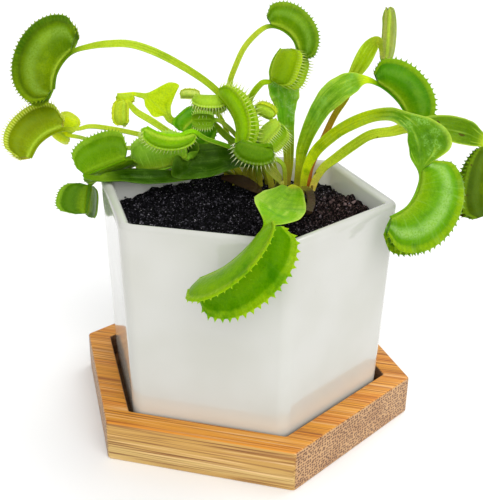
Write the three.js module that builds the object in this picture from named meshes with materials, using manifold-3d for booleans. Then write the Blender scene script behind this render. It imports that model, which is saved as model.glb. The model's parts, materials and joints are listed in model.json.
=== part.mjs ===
// A potted venus flytrap: a hexagonal glazed cup on a hexagonal bamboo saucer, peat, and a rosette of leaves
// that each end in a two-lobed toothed trap. Millimetres, +Z up, from the centre of the saucer's underside.
import * as THREE from "three";
import { mergeVertices } from "three/addons/utils/BufferGeometryUtils.js";
import Module from "manifold-3d";

// Driving dimensions. A corner value is the distance from the axis to a corner of the hexagon.
const SAUCER = { corner: 50, height: 11.4, recess: 42.5, floor: 4.5, rounding: 1.2, bevel: 0.6 };
const POT = { foot: 40.3, rim: 42.4, height: 59.5, wall: 3, floor: 4, rounding: 4.5, clearance: 0.2 };
const POT_EDGE = { chamfer: 1.2, lip: 0.5, lipDrop: 0.4 };
const POT_CENTRE = [0.3, -1.2];
const SOIL = { belowRim: 7, clearance: 0.2, edge: 1.5, lump: 0.8, rings: 11, edgeSteps: 5, rimScale: 0.99 };
const SOIL_HEAP = { x: 29, y: 6, height: 3, wideX: 60, wideY: 160 };
const CROWN = { x: 5, y: 25, wideX: 260, wideY: 60 };
const ROOT_DEPTH = 6;
const HOLE_CLEARANCE = 0.55;
const HOLE_SIDES = 6;
const HOLE_FLARE = 0.5;
const FOOT = 1;
const BLADE = { upper: 0.35, lower: 0.45, keel: 0.3, cup: 0.25 };
const LOBE = { thick: 0.8, marginThick: 0.6, rows: 2, endReach: 0.5, rib: 0.65, flattest: 0.45 };
const RIB_END = 0.3;
const SLENDER = 1.6;
const STEPS_PER_ROW = 1.25;
const UPRIGHT_FACE = [0.2, -0.75, 0.6];
const HEX_CORNERS = 6;
const CORNER_STEPS = 3;

const potBottom = SAUCER.floor + POT.clearance;
const potTop = potBottom + POT.height;
const soilTop = potTop - SOIL.belowRim;
const rootBottom = soilTop - ROOT_DEPTH;

const COLOURS = {
  bamboo: 0xd2954a,
  glaze: 0xe9e8e2,
  peat: 0x1c1613,
  green: 0x6aa51c,
  bright: 0x8fc41f,
  yellow: 0xb5cf1e,
  dark: 0x2f6b1a,
  brown: 0x7a5230,
};

// The leaves, each from its root's x and y in the peat. A stalk is a line of points from the soil to the
// trap: x, y, z and half the blade's width. A fifth number is how far the blade's edges reach past the
// midline where it ends in a heart shape. A sixth is the share of the width by which both edges move across
// where the halves aren't alike. "face" is the way a stalk's upper side looks where that isn't the usual one.
// A trap leaves the stalk along "forward" and gapes towards "open". Its midrib has the given length and turns
// through "bend" degrees away from the mouth. Its lobes reach from the midrib to the margin, by "taper" less
// towards the tip, spread lengthwise by "fan" degrees and stand at the angles "hinge" (at the midrib) and
// "brim" (at the margin) from the mouth's middle, one value for each lobe. "teeth" is their count along one
// margin.
const LEAVES = [
  {
    name: "leaf_far_left",
    tone: "green",
    root: [-2, 30],
    stalk: [
      [-5.5, 24.5, 71.5, 1.1],
      [-9.5, 21.5, 81.5, 1.1],
      [-15, 17, 89, 1.1],
      [-24, 9.5, 96.5, 1.2],
      [-32, 4.5, 100.5, 1.2],
      [-38.5, 0.5, 101, 1.1],
      [-44.5, -1, 100, 0.8],
    ],
    trap: {
      at: [-48, -2, 99],
      forward: [-0.75, -0.4, -0.55],
      open: [-0.65, 0.3, 0.7],
      length: 12,
      reach: 12.4,
      taper: 0.15,
      bend: 62,
      fan: 56,
      hinge: [50, 50],
      brim: [-20, -20],
      teeth: 18,
      toothLength: 1.1,
    },
  },
  {
    name: "leaf_left_yellow",
    tone: "yellow",
    root: [-6.5, 26.5],
    stalk: [
      [-8, 25.4, 61, 0.8],
      [-13.5, 19, 66.5, 0.8],
      [-26.5, 19, 69.5, 0.8],
      [-36, 13.5, 73.5, 0.8],
      [-44.5, 3, 77.5, 0.75],
      [-48, -1, 77.5, 0.6],
    ],
    trap: {
      at: [-52.5, -2, 77.5],
      forward: [-0.95, -0.3, -0.2],
      open: [-0.4, 0.5, 0.75],
      length: 13,
      reach: 9.6,
      taper: 0,
      bend: 68,
      fan: 14,
      hinge: [35, 40],
      brim: [0, 0],
      teeth: 14,
      toothLength: 1.2,
    },
  },
  {
    name: "leaf_left_small",
    tone: "yellow",
    root: [-9.5, 26],
    stalk: [
      [-11.5, 25.6, 61.5, 0.7],
      [-20, 21, 65.5, 0.7],
      [-31, 14, 69.5, 0.7],
      [-43, 8.5, 70, 0.7],
      [-50, 6, 73, 0.6],
    ],
    trap: {
      at: [-53.5, 4.5, 74],
      forward: [-0.85, 0, 0.55],
      open: [-0.1, 0.95, -0.2],
      length: 6.5,
      reach: 7.4,
      taper: 0,
      bend: 5,
      fan: 8,
      hinge: [78, 78],
      brim: [0, 0],
      teeth: 7,
      toothLength: 0.8,
    },
  },
  {
    name: "leaf_rim_green",
    tone: "green",
    root: [-8.5, 23],
    face: [0.1, -0.5, 0.85],
    stalk: [
      [-9.5, 17, 63.5, 1.1],
      [-18.5, 10, 63, 1.8],
      [-25.5, 4, 63.5, 2.8],
      [-32.5, -1, 64.5, 3],
      [-36.5, -6, 65.5, 2],
      [-39.5, -8, 65.5, 1.1],
    ],
    trap: {
      at: [-44, -7, 66],
      forward: [0.85, 0.35, 0.4],
      open: [-0.45, 0.85, 0.2],
      length: 12.5,
      reach: 9.6,
      taper: 0,
      bend: 12,
      fan: 38,
      hinge: [48, 48],
      brim: [40, 40],
      teeth: 16,
      toothLength: 1,
    },
  },
  {
    name: "leaf_rim_low",
    tone: "dark",
    root: [-12.3, 27.5],
    stalk: [
      [-13, 27.2, 61.5, 0.8],
      [-18.5, 24, 65, 0.8],
      [-29.5, 19.5, 67.5, 0.8],
      [-38.5, 9, 66.5, 0.8],
      [-44, 5.5, 63, 0.9],
    ],
    trap: {
      at: [-48, 3.5, 59.5],
      forward: [-0.1, -0.4, -0.9],
      open: [-0.8, 0.6, -0.15],
      length: 8.6,
      reach: 8.8,
      taper: -0.1,
      bend: 18,
      fan: 6,
      hinge: [55, 55],
      brim: [45, 45],
      teeth: 9,
      toothLength: 0.8,
    },
  },
  {
    name: "leaf_broad_dark",
    tone: "dark",
    root: [1.2, 27],
    stalk: [
      [0, 22.5, 63.5, 1.3],
      [-5, 19.5, 66.5, 2.6],
      [-9.5, 16, 67.5, 4.2],
      [-14, 13, 67, 5.6, 2],
      [-18.5, 11.5, 67, 5.4, 6],
    ],
    trap: {
      at: [-19.5, 10.5, 68.5],
      forward: [-0.75, -0.4, -0.5],
      open: [-0.6, 0.15, 0.75],
      length: 15.5,
      reach: 10.5,
      taper: 0,
      bend: -38,
      fan: 32,
      hinge: [40, 40],
      brim: [0, 0],
      teeth: 14,
      toothLength: 0.9,
    },
  },
  {
    name: "leaf_crescent_low",
    tone: "bright",
    root: [-0.2, 22.8],
    stalk: [
      [-1, 15, 68, 0.8],
      [-7, 10.5, 72.5, 0.7],
      [-12, 5.5, 75.5, 0.7],
    ],
    trap: {
      at: [-15, 2.5, 78],
      forward: [-0.85, -0.4, -0.4],
      open: [0.2, 0.5, -0.85],
      length: 14.5,
      reach: 3.8,
      taper: 0,
      bend: 70,
      fan: 20,
      hinge: [45, 45],
      brim: [-5, -5],
      teeth: 16,
      toothLength: 1.8,
    },
  },
  {
    name: "leaf_small_ciliated",
    tone: "bright",
    root: [-5.3, 23.5],
    stalk: [
      [-5.2, 22.2, 67, 0.7],
      [-6.5, 19.2, 73, 0.7],
      [-10, 14.5, 78.5, 0.7],
    ],
    trap: {
      at: [-12, 12.5, 79.5],
      forward: [-0.95, -0.25, 0],
      open: [0.25, -0.95, 0.1],
      length: 6,
      reach: 3.1,
      taper: 0,
      bend: 10,
      fan: 25,
      hinge: [65, 65],
      brim: [45, 45],
      teeth: 8,
      toothLength: 1.1,
    },
  },
  {
    name: "leaf_round_bright",
    tone: "green",
    root: [-3.7, 27.2],
    stalk: [
      [-5.5, 23.5, 68, 0.8],
      [-11, 22.5, 72.5, 1.1],
      [-15.5, 20.5, 77.5, 0.8],
    ],
    trap: {
      at: [-17.5, 19, 79],
      forward: [-0.6, -0.45, -0.65],
      open: [-0.1, 0.85, -0.5],
      length: 7,
      reach: 7.4,
      taper: 0,
      bend: 12,
      fan: 42,
      hinge: [75, 75],
      brim: [50, 50],
      teeth: 9,
      toothLength: 0.7,
    },
  },
  {
    name: "leaf_pale_cilia",
    tone: "bright",
    root: [-2.6, 24.8],
    stalk: [
      [-4, 23.5, 69, 0.8],
      [-7, 22, 78.5, 0.8],
    ],
    trap: {
      at: [-10, 18, 85],
      forward: [-0.95, -0.25, -0.05],
      open: [0.15, -0.6, -0.8],
      length: 9,
      reach: 4.8,
      taper: 0,
      bend: 12,
      fan: 22,
      hinge: [45, 45],
      brim: [0, 0],
      teeth: 11,
      toothLength: 2.2,
    },
  },
  {
    name: "leaf_back_yellow",
    tone: "yellow",
    root: [-5, 30],
    stalk: [
      [-8.5, 29, 63.5, 0.8],
      [-19, 26, 70.5, 0.9],
      [-24.5, 23.5, 74.5, 1.1],
      [-28.5, 22, 76.5, 1.2],
      [-30, 21.5, 78.5, 1.8, 0, 0.3],
      [-31.5, 21, 80, 6.2, 0, 0.4],
      [-33.5, 20.5, 82, 5.4, 0, 0.4],
      [-35.5, 20, 83.5, 1.4],
      [-37.5, 19.5, 84, 0.8],
    ],
    trap: {
      at: [-39, 19, 84],
      forward: [-0.95, -0.3, -0.1],
      open: [0.2, -0.35, -0.9],
      length: 5,
      reach: 2.5,
      taper: 0,
      bend: 10,
      fan: 20,
      hinge: [35, 35],
      brim: [0, 0],
      teeth: 5,
      toothLength: 0.5,
    },
  },
  {
    name: "leaf_back_strip",
    tone: "bright",
    root: [-8, 29],
    stalk: [
      [-10, 28.2, 62, 0.8],
      [-16.5, 25.5, 66.5, 0.9],
      [-25.5, 21.5, 71, 1],
      [-32.5, 16.5, 77, 1.1],
      [-36.5, 14.5, 80, 1],
    ],
    trap: {
      at: [-39, 13.5, 83],
      forward: [0.05, -0.4, -0.95],
      open: [-0.95, 0.35, -0.15],
      length: 6.4,
      reach: 4.4,
      taper: 0,
      bend: 8,
      fan: 26,
      hinge: [40, 40],
      brim: [10, 10],
      teeth: 7,
      toothLength: 0.5,
    },
  },
  {
    name: "leaf_crescent_up",
    tone: "bright",
    root: [3, 23.8],
    stalk: [
      [1.5, 17, 67.5, 1],
      [-1.5, 12, 70.5, 0.9],
    ],
    trap: {
      at: [-3.5, 8.5, 73.5],
      forward: [0.05, 0.4, 0.9],
      open: [1, -0.05, 0],
      length: 17,
      reach: 6,
      taper: 0,
      bend: 62,
      fan: 20,
      hinge: [62, 30],
      brim: [10, -5],
      teeth: 18,
      toothLength: 2.4,
    },
  },
  {
    name: "leaf_mid_light",
    tone: "bright",
    root: [7.3, 23.3],
    stalk: [
      [7.5, 18.5, 66, 0.7],
      [4, 15.5, 69.5, 0.7],
    ],
    trap: {
      at: [0.5, 14, 73.5],
      forward: [0.15, 0.4, 0.9],
      open: [0.95, -0.25, -0.1],
      length: 9,
      reach: 7.6,
      taper: 0,
      bend: -60,
      fan: 34,
      hinge: [48, 45],
      brim: [22, 18],
      teeth: 10,
      toothLength: 2,
    },
  },
  {
    name: "leaf_mid_green",
    tone: "green",
    root: [5, 21.5],
    stalk: [
      [7.5, 14.5, 62.5, 1.3],
      [5, 9.5, 68, 1.5],
    ],
    trap: {
      at: [6.5, 5, 74.5],
      forward: [-0.95, -0.25, 0],
      open: [-0.05, 0.15, -1],
      length: 8.5,
      reach: 5.2,
      taper: 0,
      bend: 25,
      fan: 40,
      hinge: [45, 45],
      brim: [0, 0],
      teeth: 10,
      toothLength: 1.8,
    },
  },
  {
    name: "leaf_top",
    tone: "bright",
    root: [1, 30],
    stalk: [
      [-2.5, 29.5, 70.5, 0.9],
      [-9, 26.5, 80.5, 0.9],
      [-10.5, 24, 87, 0.85],
      [-8, 22.5, 94, 0.85],
      [-5, 21.5, 99.5, 0.85],
      [-0.5, 20.5, 104, 0.8],
    ],
    trap: {
      at: [2.5, 21, 105.5],
      forward: [0.95, 0.2, -0.05],
      open: [0, 0.4, 0.9],
      length: 12.5,
      reach: 7.2,
      taper: 0.12,
      bend: 85,
      fan: 34,
      hinge: [45, 45],
      brim: [-15, -15],
      teeth: 18,
      toothLength: 0.9,
    },
  },
  {
    name: "leaf_top_yellow",
    tone: "bright",
    root: [4.2, 29.5],
    stalk: [
      [0, 27, 68, 1],
      [-4, 21.5, 80.5, 1],
      [-3, 20, 85, 1],
      [0.5, 18.5, 89.5, 0.95],
    ],
    trap: {
      at: [3.5, 18.5, 90.5],
      forward: [-0.2, 0.35, 0.9],
      open: [1, -0.05, 0.2],
      length: 9.5,
      reach: 10,
      taper: 0,
      bend: -50,
      fan: 38,
      hinge: [36, 36],
      brim: [5, 5],
      teeth: 12,
      toothLength: 1.8,
    },
  },
  {
    name: "leaf_wavy",
    tone: "dark",
    root: [7.4, 26.5],
    stalk: [
      [8, 24.5, 64.5, 1.4],
      [7.5, 25.5, 70.5, 1.8],
      [6.5, 26.5, 77, 2.4],
      [6, 26.5, 83, 3.5],
      [5.5, 26, 86.5, 4.7],
      [4.5, 26, 90, 3.6],
    ],
    trap: {
      at: [4, 26, 92.5],
      forward: [0.4, 0.45, 0.8],
      open: [-0.9, -0.05, 0.45],
      length: 5,
      reach: 3,
      taper: 0,
      bend: 10,
      fan: 20,
      hinge: [35, 35],
      brim: [0, 0],
      teeth: 5,
      toothLength: 0.5,
    },
  },
  {
    name: "leaf_right_up",
    tone: "green",
    root: [10.6, 25.6],
    stalk: [
      [11.5, 23.5, 64.5, 1.2],
      [12.5, 22, 70.5, 1.8],
      [15, 20, 77.5, 2.3],
      [18, 20, 83.5, 3],
      [22, 20, 88, 3.8],
      [26, 21, 90.5, 3.2],
      [29.5, 22, 91.5, 1.3],
    ],
    trap: {
      at: [33, 24, 90.5],
      forward: [0.9, 0.05, -0.4],
      open: [0.3, 0.45, 0.85],
      length: 13.8,
      reach: 9.4,
      taper: 0,
      bend: 45,
      fan: 48,
      hinge: [45, 45],
      brim: [-15, -15],
      teeth: 18,
      toothLength: 1.2,
    },
  },
  {
    name: "leaf_right_hook",
    tone: "green",
    root: [12.9, 22.6],
    stalk: [
      [14.5, 19, 65.5, 1.3],
      [17.5, 17, 71.5, 1.7],
      [22.5, 14, 77, 1.9],
      [27.5, 11, 81, 2],
      [33, 8.5, 84, 2],
      [38, 5.5, 85.5, 2.1],
      [41.5, 3.5, 85, 2.3],
      [44, 2, 83, 3.6, 0, -0.55],
      [45.5, 0.5, 80.5, 5.4, 0, -0.5],
      [46.5, -0.5, 77.5, 5.2, 0, -0.45],
    ],
    trap: {
      at: [47.5, -3, 73.5],
      forward: [0.2, -0.4, -0.9],
      open: [0.85, 0.5, 0],
      length: 16.6,
      reach: 12.4,
      taper: 0,
      bend: 80,
      fan: 36,
      hinge: [50, 50],
      brim: [-25, -25],
      teeth: 22,
      toothLength: 1.1,
    },
  },
  {
    name: "leaf_right_edge",
    tone: "green",
    root: [15.6, 24.4],
    stalk: [
      [18, 25, 63.5, 1.3],
      [22.5, 24, 68, 1.5],
      [27.5, 22.5, 72.5, 1.6],
      [32.5, 19.5, 76.5, 1.6],
      [38.5, 17, 78.5, 1.6],
      [43, 15, 80.5, 2],
      [48, 14, 81, 3.1],
      [52.5, 15.5, 80.5, 3.8],
      [57.5, 16.5, 79.5, 3.9],
      [60, 17.5, 78.5, 3.2],
    ],
    trap: {
      at: [65, 18.5, 75.5],
      forward: [0, -0.4, -0.9],
      open: [-0.95, -0.2, 0.1],
      length: 18.5,
      reach: 8,
      taper: -0.35,
      bend: 5,
      fan: 20,
      hinge: [50, 50],
      brim: [-15, -15],
      teeth: 16,
      toothLength: 1,
    },
  },
  {
    name: "leaf_tall_bud",
    tone: "yellow",
    root: [13.7, 27.9],
    stalk: [
      [14, 29.5, 63, 1],
      [17, 31, 71, 1],
      [20, 32, 78.5, 1],
      [23, 32.5, 84, 1.1],
      [24.5, 33, 89.5, 1.6],
      [27, 34, 94.5, 2.5],
      [29, 35, 98.5, 2.4],
      [31, 35.5, 100.5, 1.6],
      [32, 35.5, 99, 0.7],
    ],
    trap: {
      at: [33, 35, 96],
      forward: [0, 0.4, 0.9],
      open: [0.35, 0.85, -0.35],
      length: 13.5,
      reach: 5,
      taper: 0,
      bend: 8,
      fan: 60,
      hinge: [35, 35],
      brim: [-10, -10],
      teeth: 9,
      toothLength: 0.5,
    },
  },
  {
    name: "leaf_front",
    tone: "bright",
    root: [9.5, 20.3],
    stalk: [
      [11, 15, 60, 2.8],
      [13, -3, 63, 4.8],
      [15, -21, 67, 6, 1],
      [16.5, -33, 69.5, 5.6, 3],
    ],
    trap: {
      at: [16, -41.5, 69],
      forward: [-0.4, -0.45, -0.8],
      open: [0.85, -0.5, -0.15],
      length: 20.5,
      reach: 11,
      taper: -0.05,
      bend: 50,
      fan: 34,
      hinge: [40, 56],
      brim: [5, 18],
      teeth: 18,
      toothLength: 1.2,
    },
  },
  {
    name: "leaf_back_flat",
    tone: "yellow",
    root: [-9.5, 30],
    stalk: [
      [-10.5, 30.5, 63, 0.7],
      [-15, 31.5, 75.5, 0.7],
    ],
    trap: {
      at: [-21.5, 29.5, 82.5],
      forward: [-0.95, -0.2, 0.05],
      open: [0, 0.4, 0.9],
      length: 6,
      reach: 2.5,
      taper: 0,
      bend: 5,
      fan: 15,
      hinge: [35, 35],
      brim: [0, 0],
      teeth: 5,
      toothLength: 0.4,
    },
  },
  {
    name: "leaf_behind_mid",
    tone: "yellow",
    root: [4.3, 26.3],
    stalk: [
      [4, 20.5, 68.5, 0.7],
      [5, 20, 75.5, 0.7],
    ],
    trap: {
      at: [3.5, 19.5, 79.5],
      forward: [-0.9, -0.05, 0.45],
      open: [0.45, 0.1, 0.9],
      length: 5,
      reach: 4,
      taper: 0,
      bend: 10,
      fan: 30,
      hinge: [45, 45],
      brim: [10, 10],
      teeth: 7,
      toothLength: 1,
    },
  },
  {
    name: "withered_leaf",
    tone: "brown",
    root: [-1, 19.5],
    stalk: [
      [1, 13.5, 59.5, 1.3],
      [-3.5, 14.5, 61, 1.9],
      [-8, 15.5, 61.5, 1.2],
      [-10.5, 15.5, 61.5, 0.6],
    ],
  },
  {
    name: "withered_stalk",
    tone: "brown",
    root: [13.2, 18.6],
    stalk: [
      [14, 17.4, 59.6, 1],
      [16.5, 13, 60.2, 1.2],
      [18.5, 4.5, 60, 1.2],
      [19.5, -5.5, 60.6, 1],
    ],
  },
];

// Vector helpers
const vec = (p) => new THREE.Vector3(...p);
const mix = (a, b, t) => a + (b - a) * t;
const radians = THREE.MathUtils.degToRad;

const wasm = await Module();
wasm.setup();

// A closed solid from a geometry, for joining and cutting
function toSolid(geometry) {
  const bare = new THREE.BufferGeometry();
  bare.setAttribute("position", geometry.getAttribute("position"));
  bare.setIndex(geometry.index);
  const merged = mergeVertices(bare, 1e-4);
  return new wasm.Manifold(
    new wasm.Mesh({
      numProp: 3,
      vertProperties: merged.attributes.position.array,
      triVerts: new Uint32Array(merged.index.array),
    }),
  );
}

function fromSolid(solid) {
  const mesh = solid.getMesh();
  const geometry = new THREE.BufferGeometry();
  geometry.setAttribute("position", new THREE.BufferAttribute(mesh.vertProperties, 3));
  geometry.setIndex(new THREE.BufferAttribute(mesh.triVerts, 1));
  return geometry.toNonIndexed();
}

function geometryOf(points, faces) {
  const geometry = new THREE.BufferGeometry();
  geometry.setAttribute("position", new THREE.Float32BufferAttribute(points.flat(), 3));
  geometry.setIndex(faces.flat());
  return geometry;
}

function nodeOf(name, geometry, colour, roughness) {
  geometry.computeVertexNormals();
  const material = new THREE.MeshStandardMaterial({ color: colour, roughness, metalness: 0 });
  const mesh = new THREE.Mesh(geometry, material);
  mesh.name = name;
  return mesh;
}

// A stack of closed rings with the same count of points, skinned and closed at both ends with fans
function skin(rings) {
  const count = rings[0].length;
  const points = rings.flat();
  const faces = [];
  for (let r = 0; r < rings.length - 1; r++) {
    for (let k = 0; k < count; k++) {
      const a = r * count + k;
      const b = r * count + ((k + 1) % count);
      faces.push([a, b, b + count], [a, b + count, a + count]);
    }
  }
  const centreOf = (ring) => [0, 1, 2].map((c) => ring.reduce((sum, p) => sum + p[c], 0) / count);
  const first = points.push(centreOf(rings[0])) - 1;
  const last = points.push(centreOf(rings.at(-1))) - 1;
  const top = (rings.length - 1) * count;
  for (let k = 0; k < count; k++) {
    const next = (k + 1) % count;
    faces.push([first, next, k], [last, top + k, top + next]);
  }
  return geometryOf(points, faces);
}

// A hexagon with rounded corners at one height, its sides divided into equal steps
function hexRing(corner, rounding, z, centre = [0, 0], edgeSteps = 1) {
  const radius = Math.max(rounding, 0.05);
  const arcCentre = corner - radius / Math.cos(Math.PI / HEX_CORNERS);
  const onArc = (side, s) => {
    const middle = (side * 2 * Math.PI) / HEX_CORNERS;
    const turn = middle + (s / CORNER_STEPS - 0.5) * ((2 * Math.PI) / HEX_CORNERS);
    return [
      centre[0] + arcCentre * Math.cos(middle) + radius * Math.cos(turn),
      centre[1] + arcCentre * Math.sin(middle) + radius * Math.sin(turn),
      z,
    ];
  };
  const ring = [];
  for (let k = 0; k < HEX_CORNERS; k++) {
    for (let s = 0; s <= CORNER_STEPS; s++) ring.push(onArc(k, s));
    const from = onArc(k, CORNER_STEPS);
    const to = onArc(k + 1, 0);
    for (let s = 1; s < edgeSteps; s++) ring.push(from.map((value, c) => mix(value, to[c], s / edgeSteps)));
  }
  return ring;
}

function makeSaucer() {
  const { corner, height, recess, floor, rounding, bevel } = SAUCER;
  const geometry = skin([
    hexRing(corner - bevel, rounding, 0),
    hexRing(corner, rounding, bevel),
    hexRing(corner, rounding, height - bevel),
    hexRing(corner - bevel, rounding, height),
    hexRing(recess + bevel, rounding, height),
    hexRing(recess, rounding, height - bevel),
    hexRing(recess, rounding, floor),
  ]);
  return nodeOf("saucer", geometry, COLOURS.bamboo, 0.55);
}

function makePot() {
  const { foot, rim, height, wall, floor, rounding } = POT;
  const { chamfer, lip, lipDrop } = POT_EDGE;
  const outer = (z) => mix(foot, rim, z / height);
  const wallAcross = wall / Math.cos(Math.PI / HEX_CORNERS);
  const ring = (corner, round, z) => hexRing(corner, round, potBottom + z, POT_CENTRE);
  const inside = rounding - wall / 2;
  const geometry = skin([
    ring(outer(0) - chamfer, rounding, 0),
    ring(outer(chamfer), rounding, chamfer),
    ring(outer(height / 2), rounding, height / 2),
    ring(outer(height - wall / 2), rounding, height - wall / 2),
    ring(outer(height) - lip, rounding, height - lipDrop),
    ring(outer(height) - wall / 2, rounding, height),
    ring(outer(height) - wallAcross + lip, inside, height - lipDrop),
    ring(outer(height) - wallAcross, inside, height - wall / 2),
    ring(outer(floor) - wallAcross, inside, floor),
  ]);
  return nodeOf("pot", geometry, COLOURS.glaze, 0.2);
}

// Height of the peat's surface: level at the crown, lumpy elsewhere and heaped to the right
function soilHeight(x, y) {
  const near = (place) => Math.exp(-((x - place.x) ** 2) / place.wideX - ((y - place.y) ** 2) / place.wideY);
  const lumps = Math.sin(x * 0.9 + 1.3) * Math.cos(y * 0.8) + 0.6 * Math.sin(x * 0.35 - y * 0.55);
  return soilTop + SOIL_HEAP.height * near(SOIL_HEAP) + SOIL.lump * lumps * (1 - near(CROWN));
}

function makeSoil() {
  const { foot, rim, height, wall, floor, rounding } = POT;
  const wallAcross = wall / Math.cos(Math.PI / HEX_CORNERS);
  const inside = (z) => mix(foot, rim, z / height) - wallAcross - SOIL.clearance;
  const inner = rounding - wall / 2;
  const level = soilTop - potBottom;
  const bottom = floor + SOIL.clearance;
  const ringAt = (corner, round, z) => hexRing(corner, round, z, POT_CENTRE, SOIL.edgeSteps);
  const rings = [
    ringAt(inside(bottom), inner, potBottom + bottom),
    ringAt(inside(level), inner, soilTop - SOIL.edge),
  ];
  for (let k = SOIL.rings; k > 0; k--) {
    const scale = (SOIL.rimScale * k) / SOIL.rings;
    const ring = ringAt(inside(level) * scale, inner * scale, soilTop);
    rings.push(ring.map(([x, y]) => [x, y, soilHeight(x, y)]));
  }
  let solid = toSolid(skin(rings));
  for (const leaf of LEAVES) {
    const radius = stalkRows(leaf)[0][3] + HOLE_CLEARANCE;
    const hole = new THREE.CylinderGeometry(radius + HOLE_FLARE, radius, 2 * ROOT_DEPTH, HOLE_SIDES);
    hole.rotateX(Math.PI / 2);
    hole.translate(leaf.root[0], leaf.root[1], rootBottom + ROOT_DEPTH - HOLE_CLEARANCE);
    solid = solid.subtract(toSolid(hole));
  }
  return nodeOf("soil", fromSolid(solid), COLOURS.peat, 0.95);
}

// A smooth curve through rows of numbers, at t from 0 to the last row's index
function splineAt(rows, t) {
  const i = Math.min(Math.floor(t), rows.length - 2);
  const f = t - i;
  const row = (k) => rows[Math.max(0, Math.min(rows.length - 1, k))];
  return rows[0].map((_, c) => {
    const [a, b, d, e] = [row(i - 1)[c], row(i)[c], row(i + 1)[c], row(i + 2)[c]];
    return b + 0.5 * f * (d - a + f * (2 * a - 5 * b + 4 * d - e + f * (3 * (b - d) + e - a)));
  });
}

// The trap's frame: where its midrib is and which way it runs and gapes, at u from 0 (stalk) to 1 (tip)
function midribAt(trap, u) {
  const forward = vec(trap.forward).normalize();
  const open = vec(trap.open).addScaledVector(forward, -vec(trap.open).dot(forward)).normalize();
  const side = new THREE.Vector3().crossVectors(forward, open);
  const turn = radians(trap.bend);
  const radius = trap.length / (turn || 1e-6);
  const at = vec(trap.at)
    .addScaledVector(forward, radius * Math.sin(turn * u))
    .addScaledVector(open, -radius * (1 - Math.cos(turn * u)));
  const along = forward.clone().multiplyScalar(Math.cos(turn * u)).addScaledVector(open, -Math.sin(turn * u));
  const out = open.clone().multiplyScalar(Math.cos(turn * u)).addScaledVector(forward, Math.sin(turn * u));
  return { at, along, out, side };
}

// The rows of a stalk, from under the soil to the tip of the trap's midrib
function stalkRows(leaf) {
  const first = leaf.stalk[0];
  const foot = Math.min(first[3], FOOT);
  const [x, y] = leaf.root;
  const rows = [
    [x, y, rootBottom, foot, 0, 0],
    [x, y, soilTop + 0.5, foot, 0, 0],
    ...leaf.stalk.map((row) => [...row.slice(0, 4), row[4] ?? 0, row[5] ?? 0]),
  ];
  if (leaf.trap) {
    for (const u of [0, RIB_END]) {
      const { at, out } = midribAt(leaf.trap, u);
      at.addScaledVector(out, -LOBE.rib / 2);
      rows.push([at.x, at.y, at.z, LOBE.rib, 0, 0]);
    }
  }
  return rows;
}

// A stalk: a flat keeled blade swept along its rows, its upper side turned to "face"
function makeStalk(leaf) {
  const rows = stalkRows(leaf);
  const face = vec(leaf.face ?? UPRIGHT_FACE).normalize();
  const broad = Math.max(...rows.map((row) => row[3])) > SLENDER;
  const across = broad ? [-1, -0.5, 0, 0.5, 1, 0.5, 0, -0.5] : [-1, -0.4, 0.4, 1, 0.4, -0.4];
  const steps = Math.round((rows.length - 1) * STEPS_PER_ROW);
  const rings = [];
  for (let s = 0; s <= steps; s++) {
    const t = (s * (rows.length - 1)) / steps;
    const [x, y, z, half, reach, skew] = splineAt(rows, t);
    const ahead = vec(splineAt(rows, Math.min(t + 0.05, rows.length - 1)));
    const behind = vec(splineAt(rows, Math.max(t - 0.05, 0)));
    const along = ahead.sub(behind).normalize();
    const side = new THREE.Vector3().crossVectors(along, face).normalize();
    const up = new THREE.Vector3().crossVectors(side, along);
    const ring = across.map((v, k) => {
      let height = BLADE.cup * half * v * v;
      if (Math.abs(v) < 1) {
        const above = k < across.length / 2;
        height += above ? BLADE.upper : -BLADE.lower;
        if (!above && v === 0) height -= BLADE.keel;
      }
      return new THREE.Vector3(x, y, z)
        .addScaledVector(side, (v + skew * v * v) * half)
        .addScaledVector(up, height)
        .addScaledVector(along, reach * v * v)
        .toArray();
    });
    rings.push(ring);
  }
  return skin(rings);
}

// A point of the trap's mid-surface at u along the midrib and v from -1 to 1 across both lobes, with the
// direction the surface runs in and the direction of its inner side
function lobeAt(trap, u, v) {
  const { at, along, out, side } = midribAt(trap, u);
  const lobe = v < 0 ? 0 : 1;
  const sign = v < 0 ? -1 : 1;
  const place = 2 * u - 1;
  const spread = radians(trap.fan) * place;
  const axis = out.clone().multiplyScalar(Math.cos(spread)).addScaledVector(along, Math.sin(spread));
  const hinge = radians(trap.hinge[lobe]);
  const curl = radians(trap.brim[lobe]) - hinge || 1e-6;
  const rounded = 1 - (1 - LOBE.endReach) * Math.abs(place) ** 3;
  const reach = trap.reach * (1 - trap.taper * place) * rounded;
  const w = Math.abs(v);
  const lift = (reach * (Math.sin(hinge + curl * w) - Math.sin(hinge))) / curl;
  const sideways = (reach * (Math.cos(hinge) - Math.cos(hinge + curl * w))) / curl;
  at.addScaledVector(axis, lift).addScaledVector(side, sign * sideways);
  const angle = hinge + curl * w;
  const run = axis.clone().multiplyScalar(Math.cos(angle)).addScaledVector(side, sign * Math.sin(angle));
  const inward = v === 0
    ? axis.clone().divideScalar(Math.max(Math.sin(Math.abs(hinge)), LOBE.flattest))
    : axis.clone().multiplyScalar(Math.sin(angle)).addScaledVector(side, -sign * Math.cos(angle));
  return { at, run, inward };
}

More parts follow.
